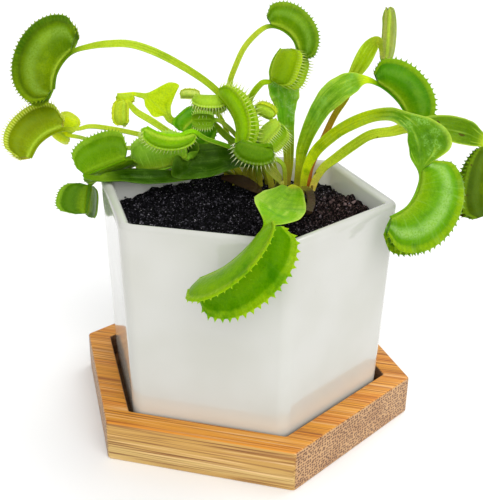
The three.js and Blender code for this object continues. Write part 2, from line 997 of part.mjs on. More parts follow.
// A trap: two lobes hinged at the midrib as one thin curved sheet, its far edges cut into teeth
function makeTrap(trap) {
  const columns = trap.teeth;
  const rows = LOBE.rows;
  const width = 2 * rows + 1;
  const points = [];
  const faces = [];
  for (const face of [1, -1]) {
    for (let i = 0; i <= columns; i++) {
      for (let j = -rows; j <= rows; j++) {
        const v = j / rows;
        const { at, inward } = lobeAt(trap, i / columns, v);
        const thick = mix(LOBE.thick, LOBE.marginThick, Math.abs(v));
        points.push(at.addScaledVector(inward, (face * thick) / 2).toArray());
      }
    }
  }
  const inner = (i, j) => i * width + j + rows;
  const outer = (i, j) => (columns + 1) * width + inner(i, j);
  for (let i = 0; i < columns; i++) {
    for (let j = -rows; j < rows; j++) {
      const corners = [[i, j], [i, j + 1], [i + 1, j + 1], [i + 1, j]];
      const [a, b, c, d] = corners.map(([p, q]) => inner(p, q));
      const [e, f, g, h] = corners.map(([p, q]) => outer(p, q));
      faces.push([a, b, c], [a, c, d], [e, g, f], [e, h, g]);
    }
  }
  for (let j = -rows; j < rows; j++) {
    const [a, b, c, d] = [inner(0, j), outer(0, j), outer(0, j + 1), inner(0, j + 1)];
    const [e, f, g, h] = [inner(columns, j), inner(columns, j + 1), outer(columns, j + 1), outer(columns, j)];
    faces.push([a, b, c], [a, c, d], [e, f, g], [e, g, h]);
  }
  for (let i = 0; i < columns; i++) {
    for (const end of [-rows, rows]) {
      const { at, run } = lobeAt(trap, (i + 0.5) / columns, Math.sign(end));
      const tip = points.push(at.addScaledVector(run, trap.toothLength).toArray()) - 1;
      const [a, b, c, d] = [inner(i, end), inner(i + 1, end), outer(i + 1, end), outer(i, end)];
      const around = end > 0 ? [d, c, b, a] : [a, b, c, d];
      around.forEach((corner, k) => faces.push([corner, around[(k + 1) % 4], tip]));
    }
  }
  return geometryOf(points, faces);
}

function makeLeaf(leaf) {
  let solid = toSolid(makeStalk(leaf));
  if (leaf.trap) solid = solid.add(toSolid(makeTrap(leaf.trap)));
  return nodeOf(leaf.name, fromSolid(solid), COLOURS[leaf.tone], 0.5);
}

const plant = new THREE.Group();
plant.add(makeSaucer(), makePot(), makeSoil(), ...LEAVES.map(makeLeaf));

export default plant;
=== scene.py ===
import itertools
import json
import math

import bpy
import numpy as np
from mathutils import Matrix, Vector, noise


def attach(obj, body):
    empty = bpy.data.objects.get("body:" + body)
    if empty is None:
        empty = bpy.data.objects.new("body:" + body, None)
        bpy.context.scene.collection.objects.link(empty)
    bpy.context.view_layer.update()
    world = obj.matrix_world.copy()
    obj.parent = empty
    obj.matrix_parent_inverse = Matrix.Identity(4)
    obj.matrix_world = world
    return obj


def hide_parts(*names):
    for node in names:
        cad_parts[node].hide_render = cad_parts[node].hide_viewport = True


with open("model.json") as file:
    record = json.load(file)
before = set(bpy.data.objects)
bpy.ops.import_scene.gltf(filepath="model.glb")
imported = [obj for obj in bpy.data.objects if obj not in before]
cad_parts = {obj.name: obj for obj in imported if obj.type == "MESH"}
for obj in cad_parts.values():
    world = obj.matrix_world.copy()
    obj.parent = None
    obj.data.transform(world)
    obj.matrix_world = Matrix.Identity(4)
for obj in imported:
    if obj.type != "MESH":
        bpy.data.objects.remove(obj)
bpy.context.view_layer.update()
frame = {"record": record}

# A potted venus flytrap: a glazed hexagonal cup on a bamboo saucer, peat, and a rosette of toothed traps.
# Sizes and places are in millimetres, as in the solids' source, and meshes are made in metres.
MM = 0.001

CAMERA = dict(azimuth=14.2, elevation=22.05, roll=0.6, distance=217.3, target=(-0.2, 0, 45.4))
FOCAL_PIXELS = 760
LONG_SIDE_PIXELS = 500
SENSOR = 36
NEAREST = 10
FARTHEST = 20000
FLOOR_REACH = 6000

SAUCER = dict(corner=50, height=11.4, recess=42.5, floor=4.5, rounding=1.2, bevel=0.6)
POT = dict(foot=40.3, rim=42.4, height=59.5, wall=3, floor=4, lip=1.5, rounding=4.5, clearance=0.2)
POT_CENTRE = (0.3, -1.2)
SOIL = dict(below_rim=7, clearance=0.2, edge=1.5, lump=0.8)
SOIL_HEAP = dict(x=29, y=6, height=3, wide_x=60, wide_y=160, brown=16)
CROWN = dict(x=5, y=25, wide_x=260, wide_y=60)
ROOT_DEPTH = 6
FOOT = 1
BLADE = dict(upper=0.35, lower=0.45, keel=0.3, furrow=0.22, cup=0.25, stalk_half=1.2, blade_half=2.8)
LOBE = dict(thick=0.8, margin=0.5, end_reach=0.5, rib=0.65, swell=0.5, flare=0.3, groove=0.16)
RIB = ((0, 0.65), (0.3, 0.62), (0.65, 0.5), (1, 0.35))
RIDGE = dict(place=0.75, wide=0.3, high=0.26)
BAND_START = 0.83
HINGE_SOFT = 0.9
UPRIGHT_FACE = (0.2, -0.75, 0.6)

STALK_STEPS = 9
STALK_RING = 20
LOBE_STEPS = 46
LOBE_ACROSS = [0, 0.025, 0.055, 0.09, 0.14, 0.21, 0.3, 0.41, 0.52, 0.63, 0.73, 0.81, 0.86, 0.9, 0.94, 0.975]
SPIKE_STEPS = np.array([0, 0.18, 0.4, 0.64, 0.85, 1])
SPIKE_RING = 6
SOIL_RINGS = 76
SOIL_AROUND = 230
CRUMB = dict(count=2400, inset=1.8, least=0.2, more=0.3, power=2, swell=0.7, palest=0.85, side=2.1)
SPECK = dict(count=12400, inset=1.2, least=0.12, more=0.14, power=1, swell=0, palest=1, side=1.5)
GOLDEN = 1.618

COS_30 = math.cos(math.pi / 6)
CORNER_WALL = POT["wall"] / COS_30
POT_BOTTOM = SAUCER["floor"] + POT["clearance"]
POT_TOP = POT_BOTTOM + POT["height"]
SOIL_TOP = POT_TOP - SOIL["below_rim"]
ROOT_BOTTOM = SOIL_TOP - ROOT_DEPTH

# How a leaf looks: these values, then its tone's, then its own. Colours are red, green, blue to 255. cilia
# says how many a trap has for each of the solids' teeth, lash their length and root half their width.
# Some of these paint light and shade into the colour: highlights on each lobe's arc and outer edge, sheen on
# broad blades, and shade in the lobe's groove and on the stalk's underside.
LOOK = dict(
    wave=0.06, base_length=12, cilia=1, lash=1, root=0.55, deep=(1, 1.1), base=(200, 190, 62),
    midline=(170, 204, 70), edge=(200, 222, 80), gloss=0.15, painted_sheen_colour=(160, 206, 90), near=(150, 180, 10),
    arc_highlight=0.25, lit=(172, 214, 84), line=0.25, comb=0.3, ridge=(178, 206, 60), patch=(172, 202, 10),
    mottle=0.22, shadow=(120, 178, 90), veins=0.05, spots=0,
)

# The leaves, as in the solids' source. A stalk's points are x, y, z, half the blade's width, how far a
# heart-shaped end reaches past the midline, and how far the blade lies to one side of it. Angles are in
# degrees, and hinge, brim and lash can have one value for each lobe.
TRAP = dict(taper=0, brim=0)
LEAVES = {}
LEAVES["leaf_far_left"] = dict(tone="olive", root=(-2, 30),
    stalk=[(-5.5, 24.5, 71.5, 1.1), (-9.5, 21.5, 81.5, 1.1), (-15, 17, 89, 1.1), (-24, 9.5, 96.5, 1.2),
        (-32, 4.5, 100.5, 1.2), (-38.5, 0.5, 101, 1.1), (-44.5, -1, 100, 0.8)],
    trap=dict(at=(-48, -2, 99), forward=(-0.75, -0.4, -0.55), open=(-0.65, 0.3, 0.7), length=12, reach=12.4,
        taper=0.15, bend=62, fan=56, hinge=50, brim=-20, teeth=18, tooth=1.1),
    look=dict(cilia=2.2, far=(100, 124, 0), lit=(142, 176, 62), arc_highlight=0.6, line=0.75, band=(60, 98, 0),
        far_band=(110, 136, 0), rim=(124, 156, 8), inside=(120, 160, 0), comb=0.12, near=(96, 124, 0)))
LEAVES["leaf_left_yellow"] = dict(tone="mustard", root=(-6.5, 26.5),
    stalk=[(-8, 25.4, 61, 0.8), (-13.5, 19, 66.5, 0.8), (-26.5, 19, 69.5, 0.8), (-36, 13.5, 73.5, 0.8),
        (-44.5, 3, 77.5, 0.75), (-48, -1, 77.5, 0.6)],
    trap=dict(at=(-52.5, -2, 77.5), forward=(-0.95, -0.3, -0.2), open=(-0.4, 0.5, 0.75), length=13, reach=9.6,
        bend=68, fan=14, hinge=(35, 40), teeth=14, tooth=1.2),
    look=dict(cilia=2.5, lash=1.5, root=0.24, inside=(170, 168, 20), arc_highlight=0.1, line=0.3, teeth=(214, 222, 96),
        comb=0.85, band=(150, 168, 10)))
LEAVES["leaf_left_small"] = dict(tone="lime", root=(-9.5, 26),
    stalk=[(-11.5, 25.6, 61.5, 0.7), (-20, 21, 65.5, 0.7), (-31, 14, 69.5, 0.7), (-43, 8.5, 70, 0.7),
        (-50, 6, 73, 0.6)],
    trap=dict(at=(-53.5, 4.5, 74), forward=(-0.85, 0, 0.55), open=(-0.1, 0.95, -0.2), length=6.5, reach=7.4,
        bend=5, fan=8, hinge=78, teeth=7, tooth=0.8),
    look=dict(stalk=(170, 192, 72), lobe=(214, 228, 10), cilia=2, arc_highlight=0.15))
LEAVES["leaf_rim_green"] = dict(tone="dark", root=(-8.5, 23), face=(0.1, -0.5, 0.85),
    stalk=[(-9.5, 17, 63.5, 1.1), (-18.5, 10, 63, 1.8), (-25.5, 4, 63.5, 2.8), (-32.5, -1, 64.5, 3),
        (-36.5, -6, 65.5, 2), (-39.5, -8, 65.5, 1.1)],
    trap=dict(at=(-44, -7, 66), forward=(0.85, 0.35, 0.4), open=(-0.45, 0.85, 0.2), length=12.5, reach=9.6,
        bend=12, fan=38, hinge=48, brim=40, teeth=16, tooth=1),
    look=dict(lobe=(96, 142, 4), band=(124, 164, 28), cilia=1.3, arc_highlight=0.1, line=0.1, near=(120, 156, 10),
        ridge=(120, 160, 24)))
LEAVES["leaf_rim_low"] = dict(tone="dark", root=(-12.3, 27.5),
    stalk=[(-13, 27.2, 61.5, 0.8), (-18.5, 24, 65, 0.8), (-29.5, 19.5, 67.5, 0.8), (-38.5, 9, 66.5, 0.8),
        (-44, 5.5, 63, 0.9)],
    trap=dict(at=(-48, 3.5, 59.5), forward=(-0.1, -0.4, -0.9), open=(-0.8, 0.6, -0.15), length=8.6, reach=8.8,
        taper=-0.1, bend=18, fan=6, hinge=55, brim=45, teeth=9, tooth=0.8),
    look=dict(stalk=(128, 154, 30), lobe=(78, 122, 8), cilia=1.5, arc_highlight=0.1, line=0.15, ridge=(110, 150, 24)))
LEAVES["leaf_broad_dark"] = dict(tone="dark", root=(1.2, 27),
    stalk=[(0, 22.5, 63.5, 1.3), (-5, 19.5, 66.5, 2.6), (-9.5, 16, 67.5, 4.2), (-14, 13, 67, 5.6, 2),
        (-18.5, 11.5, 67, 5.4, 6)],
    trap=dict(at=(-19.5, 10.5, 68.5), forward=(-0.75, -0.4, -0.5), open=(-0.6, 0.15, 0.75), length=15.5,
        reach=10.5, bend=-38, fan=32, hinge=40, teeth=14, tooth=0.9),
    look=dict(stalk=(66, 100, 8), lobe=(140, 192, 46), band=(154, 198, 60), veins=0.45, teeth=(170, 206, 90),
        arc_highlight=0.2, cilia=1.4))
LEAVES["leaf_crescent_low"] = dict(tone="bright", root=(-0.2, 22.8),
    stalk=[(-1, 15, 68, 0.8), (-7, 10.5, 72.5, 0.7), (-12, 5.5, 75.5, 0.7)],
    trap=dict(at=(-15, 2.5, 78), forward=(-0.85, -0.4, -0.4), open=(0.2, 0.5, -0.85), length=14.5, reach=3.8,
        bend=70, fan=20, hinge=45, brim=-5, teeth=16, tooth=1.8),
    look=dict(stalk=(98, 150, 14), lobe=(136, 196, 8), band=(164, 212, 40), teeth=(206, 228, 130), cilia=1.4,
        root=0.3, arc_highlight=0.2))
LEAVES["leaf_small_ciliated"] = dict(tone="pale", root=(-5.3, 23.5),
    stalk=[(-5.2, 22.2, 67, 0.7), (-6.5, 19.2, 73, 0.7), (-10, 14.5, 78.5, 0.7)],
    trap=dict(at=(-12, 12.5, 79.5), forward=(-0.95, -0.25, 0), open=(0.25, -0.95, 0.1), length=6, reach=3.1,
        bend=10, fan=25, hinge=65, brim=45, teeth=8, tooth=1.1),
    look=dict(stalk=(144, 168, 50), lobe=(106, 146, 14), inside=(112, 152, 14), band=(124, 168, 34),
        cilia=1.4, root=0.2))
LEAVES["leaf_round_bright"] = dict(tone="green", root=(-3.7, 27.2),
    stalk=[(-5.5, 23.5, 68, 0.8), (-11, 22.5, 72.5, 1.1), (-15.5, 20.5, 77.5, 0.8)],
    trap=dict(at=(-17.5, 19, 79), forward=(-0.6, -0.45, -0.65), open=(-0.1, 0.85, -0.5), length=7, reach=7.4,
        bend=12, fan=42, hinge=75, brim=50, teeth=9, tooth=0.7),
    look=dict(stalk=(116, 152, 20), lobe=(78, 158, 0), band=(106, 172, 2), inside=(84, 160, 0), cilia=1.4))
LEAVES["leaf_pale_cilia"] = dict(tone="pale", root=(-2.6, 24.8),
    stalk=[(-4, 23.5, 69, 0.8), (-7, 22, 78.5, 0.8)],
    trap=dict(at=(-10, 18, 85), forward=(-0.95, -0.25, -0.05), open=(0.15, -0.6, -0.8), length=9, reach=4.8,
        bend=12, fan=22, hinge=45, teeth=11, tooth=2.2),
    look=dict(cilia=1.5, root=0.22))
LEAVES["leaf_back_yellow"] = dict(tone="lime", root=(-5, 30),
    stalk=[(-8.5, 29, 63.5, 0.8), (-19, 26, 70.5, 0.9), (-24.5, 23.5, 74.5, 1.1), (-28.5, 22, 76.5, 1.2),
        (-30, 21.5, 78.5, 1.8, 0, 0.3), (-31.5, 21, 80, 6.2, 0, 0.4), (-33.5, 20.5, 82, 5.4, 0, 0.4),
        (-35.5, 20, 83.5, 1.4), (-37.5, 19.5, 84, 0.8)],
    trap=dict(at=(-39, 19, 84), forward=(-0.95, -0.3, -0.1), open=(0.2, -0.35, -0.9), length=5, reach=2.5,
        bend=10, fan=20, hinge=35, teeth=5, tooth=0.5),
    look=dict(edge=(196, 216, 40)))
LEAVES["leaf_back_strip"] = dict(tone="lime", root=(-8, 29),
    stalk=[(-10, 28.2, 62, 0.8), (-16.5, 25.5, 66.5, 0.9), (-25.5, 21.5, 71, 1), (-32.5, 16.5, 77, 1.1),
        (-36.5, 14.5, 80, 1)],
    trap=dict(at=(-39, 13.5, 83), forward=(0.05, -0.4, -0.95), open=(-0.95, 0.35, -0.15), length=6.4,
        reach=4.4, bend=8, fan=26, hinge=40, brim=10, teeth=7, tooth=0.5),
    look=dict(lobe=(198, 214, 44)))
LEAVES["leaf_crescent_up"] = dict(tone="bright", root=(3, 23.8),
    stalk=[(1.5, 17, 67.5, 1), (-1.5, 12, 70.5, 0.9)],
    trap=dict(at=(-3.5, 8.5, 73.5), forward=(0.05, 0.4, 0.9), open=(1, -0.05, 0), length=17, reach=6, bend=62,
        fan=20, hinge=(62, 30), brim=(10, -5), teeth=18, tooth=2.4),
    look=dict(stalk=(180, 214, 20), lobe=(142, 188, 0), inside=(146, 192, 0), band=(148, 184, 12),
        teeth=(206, 224, 116), cilia=1.3, root=0.28, arc_highlight=0.15, comb=0.15))
LEAVES["leaf_mid_light"] = dict(tone="pale", root=(7.3, 23.3),
    stalk=[(7.5, 18.5, 66, 0.7), (4, 15.5, 69.5, 0.7)],
    trap=dict(at=(0.5, 14, 73.5), forward=(0.15, 0.4, 0.9), open=(0.95, -0.25, -0.1), length=9, reach=7.6,
        bend=-60, fan=34, hinge=(48, 45), brim=(22, 18), teeth=10, tooth=2),
    look=dict(lobe=(192, 222, 66), inside=(168, 208, 34), band=(178, 208, 50), teeth=(220, 234, 150),
        cilia=1.6, root=0.22, arc_highlight=0.15))
LEAVES["leaf_mid_green"] = dict(tone="green", root=(5, 21.5),
    stalk=[(7.5, 14.5, 62.5, 1.3), (5, 9.5, 68, 1.5)],
    trap=dict(at=(6.5, 5, 74.5), forward=(-0.95, -0.25, 0), open=(-0.05, 0.15, -1), length=8.5, reach=5.2,
        bend=25, fan=40, hinge=45, teeth=10, tooth=1.8),
    look=dict(stalk=(160, 158, 66), base=(190, 176, 96), lobe=(92, 136, 2), band=(92, 126, 12),
        teeth=(226, 234, 180), cilia=1.6, root=0.24, lash=1.35, arc_highlight=0.1, line=0.1, comb=0.1,
        ridge=(100, 136, 14), near=(96, 132, 6)))
LEAVES["leaf_top"] = dict(tone="green", root=(1, 30),
    stalk=[(-2.5, 29.5, 70.5, 0.9), (-9, 26.5, 80.5, 0.9), (-10.5, 24, 87, 0.85), (-8, 22.5, 94, 0.85),
        (-5, 21.5, 99.5, 0.85), (-0.5, 20.5, 104, 0.8)],
    trap=dict(at=(2.5, 21, 105.5), forward=(0.95, 0.2, -0.05), open=(0, 0.4, 0.9), length=12.5, reach=7.2,
        taper=0.12, bend=85, fan=34, hinge=45, brim=-15, teeth=18, tooth=0.9),
    look=dict(stalk=(190, 206, 54), lobe=(86, 130, 0), band=(110, 144, 20), cilia=1.6))
LEAVES["leaf_top_yellow"] = dict(tone="bright", root=(4.2, 29.5),
    stalk=[(0, 27, 68, 1), (-4, 21.5, 80.5, 1), (-3, 20, 85, 1), (0.5, 18.5, 89.5, 0.95)],
    trap=dict(at=(3.5, 18.5, 90.5), forward=(-0.2, 0.35, 0.9), open=(1, -0.05, 0.2), length=9.5, reach=10,
        bend=-50, fan=38, hinge=36, brim=5, teeth=12, tooth=1.8),
    look=dict(lobe=(124, 160, 0), band=(160, 192, 6), far=(140, 170, 4), teeth=(196, 214, 110),
        inside=(150, 186, 20), cilia=1.4, root=0.28, arc_highlight=0.1))
LEAVES["leaf_wavy"] = dict(tone="green", root=(7.4, 26.5),
    stalk=[(8, 24.5, 64.5, 1.4), (7.5, 25.5, 70.5, 1.8), (6.5, 26.5, 77, 2.4), (6, 26.5, 83, 3.5),
        (5.5, 26, 86.5, 4.7), (4.5, 26, 90, 3.6)],
    trap=dict(at=(4, 26, 92.5), forward=(0.4, 0.45, 0.8), open=(-0.9, -0.05, 0.45), length=5, reach=3,
        bend=10, fan=20, hinge=35, teeth=5, tooth=0.5),
    look=dict(stalk=(148, 148, 14), base=(196, 172, 66), blade=(112, 180, 26), wave=0.6, gloss=0.9,
        painted_sheen_colour=(190, 222, 140)))
LEAVES["leaf_right_up"] = dict(tone="green", root=(10.6, 25.6),
    stalk=[(11.5, 23.5, 64.5, 1.2), (12.5, 22, 70.5, 1.8), (15, 20, 77.5, 2.3), (18, 20, 83.5, 3),
        (22, 20, 88, 3.8), (26, 21, 90.5, 3.2), (29.5, 22, 91.5, 1.3)],
    trap=dict(at=(33, 24, 90.5), forward=(0.9, 0.05, -0.4), open=(0.3, 0.45, 0.85), length=13.8, reach=9.4,
        bend=45, fan=48, hinge=45, brim=-15, teeth=18, tooth=1.2),
    look=dict(stalk=(200, 220, 20), blade=(118, 168, 34), lobe=(70, 134, 0), cilia=1.3, base=(188, 178, 46),
        wave=0.2, gloss=0.7, base_length=16, arc_highlight=0.15, line=0.12, painted_sheen_colour=(150, 200, 84), mottle=0.5))
LEAVES["leaf_right_hook"] = dict(tone="green", root=(12.9, 22.6),
    stalk=[(14.5, 19, 65.5, 1.3), (17.5, 17, 71.5, 1.7), (22.5, 14, 77, 1.9), (27.5, 11, 81, 2),
        (33, 8.5, 84, 2), (38, 5.5, 85.5, 2.1), (41.5, 3.5, 85, 2.3), (44, 2, 83, 3.6, 0, -0.55),
        (45.5, 0.5, 80.5, 5.4, 0, -0.5), (46.5, -0.5, 77.5, 5.2, 0, -0.45)],
    trap=dict(at=(47.5, -3, 73.5), forward=(0.2, -0.4, -0.9), open=(0.85, 0.5, 0), length=16.6, reach=12.4,
        bend=80, fan=36, hinge=50, brim=-25, teeth=22, tooth=1.1),
    look=dict(stalk=(240, 252, 18), blade=(86, 136, 6), lobe=(100, 158, 8), band=(130, 166, 10),
        lit=(188, 222, 136), arc_highlight=0.5, cilia=1.25, root=0.7, gloss=0.7, mottle=0.5, base=(222, 226, 50),
        veins=0.08, neck=(112, 156, 14), deep=(0.36, 0.52), ridge=(150, 186, 50), painted_sheen_colour=(150, 198, 88)))
LEAVES["leaf_right_edge"] = dict(tone="green", root=(15.6, 24.4),
    stalk=[(18, 25, 63.5, 1.3), (22.5, 24, 68, 1.5), (27.5, 22.5, 72.5, 1.6), (32.5, 19.5, 76.5, 1.6),
        (38.5, 17, 78.5, 1.6), (43, 15, 80.5, 2), (48, 14, 81, 3.1), (52.5, 15.5, 80.5, 3.8),
        (57.5, 16.5, 79.5, 3.9), (60, 17.5, 78.5, 3.2)],
    trap=dict(at=(65, 18.5, 75.5), forward=(0, -0.4, -0.9), open=(-0.95, -0.2, 0.1), length=18.5, reach=8,
        taper=-0.35, bend=5, fan=20, hinge=50, brim=-15, teeth=16, tooth=1),
    look=dict(stalk=(232, 246, 62), lobe=(70, 96, 0), blade=(92, 130, 0), band=(96, 124, 6),
        base=(228, 204, 90), cilia=1.3, arc_highlight=0.08, line=0.1, veins=0, neck=(110, 150, 10), spots=0.8))
LEAVES["leaf_tall_bud"] = dict(tone="lime", root=(13.7, 27.9),
    stalk=[(14, 29.5, 63, 1), (17, 31, 71, 1), (20, 32, 78.5, 1), (23, 32.5, 84, 1.1), (24.5, 33, 89.5, 1.6),
        (27, 34, 94.5, 2.5), (29, 35, 98.5, 2.4), (31, 35.5, 100.5, 1.6), (32, 35.5, 99, 0.7)],
    trap=dict(at=(33, 35, 96), forward=(0, 0.4, 0.9), open=(0.35, 0.85, -0.35), length=13.5, reach=5, bend=8,
        fan=60, hinge=35, brim=-10, teeth=9, tooth=0.5),
    look=dict(stalk=(152, 164, 30), base=(200, 110, 40), base_length=42, blade=(158, 190, 8),
        lobe=(152, 160, 70), band=(156, 172, 90), gloss=0.1))
LEAVES["leaf_front"] = dict(tone="bright", root=(9.5, 20.3),
    stalk=[(11, 15, 60, 2.8), (13, -3, 63, 4.8), (15, -21, 67, 6, 1), (16.5, -33, 69.5, 5.6, 3)],
    trap=dict(at=(16, -41.5, 69), forward=(-0.4, -0.45, -0.8), open=(0.85, -0.5, -0.15), length=20.5,
        reach=11, taper=-0.05, bend=50, fan=34, hinge=(40, 56), brim=(5, 18), teeth=18, tooth=1.2),
    look=dict(stalk=(130, 160, 14), base=(208, 212, 56), lobe=(114, 162, 0), band=(128, 166, 2),
        teeth=(152, 188, 24), inside=(96, 150, 0), cilia=1.15, root=0.85, arc_highlight=0.05, line=0.1, gloss=0.3,
        mottle=0.6, shadow=(116, 196, 60), lash=(1, 0.5), edge=(200, 222, 96)))
LEAVES["leaf_back_flat"] = dict(tone="lime", root=(-9.5, 30),
    stalk=[(-10.5, 30.5, 63, 0.7), (-15, 31.5, 75.5, 0.7)],
    trap=dict(at=(-21.5, 29.5, 82.5), forward=(-0.95, -0.2, 0.05), open=(0, 0.4, 0.9), length=6, reach=2.5,
        bend=5, fan=15, hinge=35, teeth=5, tooth=0.4),
    look=dict(stalk=(160, 180, 24), lobe=(212, 224, 108), arc_highlight=0.1))
LEAVES["leaf_behind_mid"] = dict(tone="lime", root=(4.3, 26.3),
    stalk=[(4, 20.5, 68.5, 0.7), (5, 20, 75.5, 0.7)],
    trap=dict(at=(3.5, 19.5, 79.5), forward=(-0.9, -0.05, 0.45), open=(0.45, 0.1, 0.9), length=5, reach=4,
        bend=10, fan=30, hinge=45, brim=10, teeth=7, tooth=1),
    look=dict(lobe=(196, 226, 64), cilia=1.3, root=0.2))
LEAVES["withered_leaf"] = dict(tone="withered", root=(-1, 19.5),
    stalk=[(1, 13.5, 59.5, 1.3), (-3.5, 14.5, 61, 1.9), (-8, 15.5, 61.5, 1.2), (-10.5, 15.5, 61.5, 0.6)],
    look=dict(stalk=(50, 34, 26), blade=(46, 32, 24), wave=0.5))
LEAVES["withered_stalk"] = dict(tone="withered", root=(13.2, 18.6),
    stalk=[(14, 17.4, 59.6, 1), (16.5, 13, 60.2, 1.2), (18.5, 4.5, 60, 1.2), (19.5, -5.5, 60.6, 1)],
    look=dict(stalk=(62, 44, 32), base=(166, 158, 50), base_length=10, wave=0.4))

TONES = dict(
    olive=dict(stalk=(168, 190, 38), blade=(138, 172, 12), lobe=(86, 120, 0), band=(84, 118, 0),
        teeth=(126, 150, 10)),
    mustard=dict(stalk=(180, 196, 46), blade=(150, 180, 20), lobe=(122, 140, 0), band=(160, 176, 16),
        teeth=(200, 212, 90)),
    lime=dict(stalk=(190, 212, 50), blade=(198, 220, 10), lobe=(204, 222, 10), band=(210, 222, 36),
        teeth=(190, 206, 60)),
    green=dict(stalk=(168, 190, 16), blade=(92, 142, 8), lobe=(74, 138, 0), band=(120, 160, 4),
        teeth=(110, 150, 16)),
    bright=dict(stalk=(158, 192, 18), blade=(122, 178, 4), lobe=(122, 170, 0), band=(142, 184, 10),
        teeth=(176, 206, 66)),
    pale=dict(stalk=(170, 196, 60), blade=(140, 186, 30), lobe=(164, 200, 42), band=(170, 208, 50),
        teeth=(212, 228, 140)),
    dark=dict(stalk=(106, 140, 18), blade=(40, 76, 0), lobe=(88, 136, 6), band=(124, 164, 26),
        teeth=(120, 158, 40), edge=(88, 128, 30), midline=(96, 134, 34), patch=(70, 110, 4)),
    withered=dict(stalk=(66, 44, 28), blade=(56, 38, 26), lobe=(66, 44, 28), band=(66, 44, 28),
        teeth=(66, 44, 28), base=(76, 54, 32), midline=(96, 72, 44), edge=(44, 30, 20), patch=(96, 72, 46),
        shadow=(130, 116, 104), painted_sheen_colour=(110, 90, 66)),
)


def add_object(name, data):
    item = bpy.data.objects.new(name, data)
    bpy.context.scene.collection.objects.link(item)
    return item


def add_piece(name, node, slot, material, points, faces, smooth_angle=40, **values):
    """A piece of the object, from points in millimetres, that stands for a solid. Values are per point."""
    mesh = bpy.data.meshes.new(name)
    mesh.from_pydata((np.asarray(points, float) * MM).tolist(), [], faces)
    mesh.polygons.foreach_set("use_smooth", np.ones(len(mesh.polygons), bool))
    mesh.set_sharp_from_angle(angle=math.radians(smooth_angle))
    for key, column in values.items():
        mesh.attributes.new(key, "FLOAT", "POINT").data.foreach_set("value", np.asarray(column, np.float32))
    mesh.materials.append(material)
    piece = add_object(name, mesh)
    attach(piece, "root")
    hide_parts(node)


class Body:
    """Points, faces and named values per point, gathered part by part."""

    def __init__(self, *keys):
        self.points = []
        self.faces = []
        self.values = {key: [] for key in keys}
        self.count = 0

    def add(self, points, faces, **values):
        self.points.append(points)
        self.faces += [tuple(index + self.count for index in face) for face in faces]
        for key, columns in self.values.items():
            columns.append(np.broadcast_to(np.asarray(values.get(key, 0), float), len(points)))
        self.count += len(points)

    def piece(self, name, node, slot, material, smooth_angle):
        values = {key: np.concatenate(columns) for key, columns in self.values.items()}
        points = np.concatenate(self.points)
        add_piece(name, node, slot, material, points, self.faces, smooth_angle, **values)


def unit(vectors):
    return vectors / np.linalg.norm(vectors, axis=-1, keepdims=True)


def smooth(x):
    """Rises from 0 to 1 as x does, with level ends."""
    x = np.clip(x, 0, 1)
    return x * x * (3 - 2 * x)


def spline(rows, t):
    """A smooth curve through rows of numbers, at every t from 0 to the last row's index."""
    rows = np.asarray(rows, float)
    last = len(rows) - 1
    i = np.minimum(t.astype(int), last - 1)
    f = (t - i)[:, None]
    a, b, c, d = (rows[np.clip(i + k, 0, last)] for k in (-1, 0, 1, 2))
    return b + 0.5 * f * (c - a + f * (2 * a - 5 * b + 4 * c - d + f * (3 * (b - c) + d - a)))


def grid_faces(rows, columns, wrap=False, start=0, flip=False):
    """Quads between the points of a grid that is counted row by row."""
    faces = []
    for i, j in itertools.product(range(rows - 1), range(columns if wrap else columns - 1)):
        a = start + i * columns + j
        b = start + i * columns + (j + 1) % columns
        face = (a, b, b + columns, a + columns)
        faces.append(face[::-1] if flip else face)
    return faces


def tube(rings):
    """Points and faces of a closed body over rings of points, with a fan at both ends."""
    rings = np.asarray(rings, float)
    count = rings.shape[1]
    points = np.concatenate([rings.reshape(-1, 3), rings[:1].mean(axis=1), rings[-1:].mean(axis=1)])
    faces = grid_faces(len(rings), count, wrap=True)
    first, last = len(points) - 2, len(points) - 1
    top = (len(rings) - 1) * count
    for k in range(count):
        following = (k + 1) % count
        faces += [(first, following, k), (last, top + k, top + following)]
    return points, faces


# Leaves


def midrib(trap, u):
    """The trap's frame at every u from 0 (stalk) to 1 (tip): its place, and how it runs, gapes, spreads."""
    forward = unit(trap["forward"])
    gape = unit(trap["open"] - forward * np.dot(trap["open"], forward))
    turn = math.radians(trap["bend"])
    radius = trap["length"] / turn
    cos, sin = np.cos(turn * u)[:, None], np.sin(turn * u)[:, None]
    at = trap["at"] + forward * radius * sin - gape * radius * (1 - cos)
    return at, forward * cos - gape * sin, gape * cos + forward * sin, np.cross(forward, gape)


def stalk_rows(leaf):
    """The rows of a stalk, from under the soil to the tip of the trap's midrib."""
    foot = min(leaf["stalk"][0][3], FOOT)
    rows = [(*leaf["root"], z, foot, 0, 0) for z in (ROOT_BOTTOM, SOIL_TOP + 0.5)]
    rows += [(*row, 0, 0)[:6] for row in leaf["stalk"]]
    if "trap" in leaf:
        at, _, out, _ = midrib(leaf["trap"], np.array([u for u, _ in RIB]))
        rows += [(*point, half, 0, 0) for point, (_, half) in zip(at - out * LOBE["rib"] / 2, RIB)]
    return rows


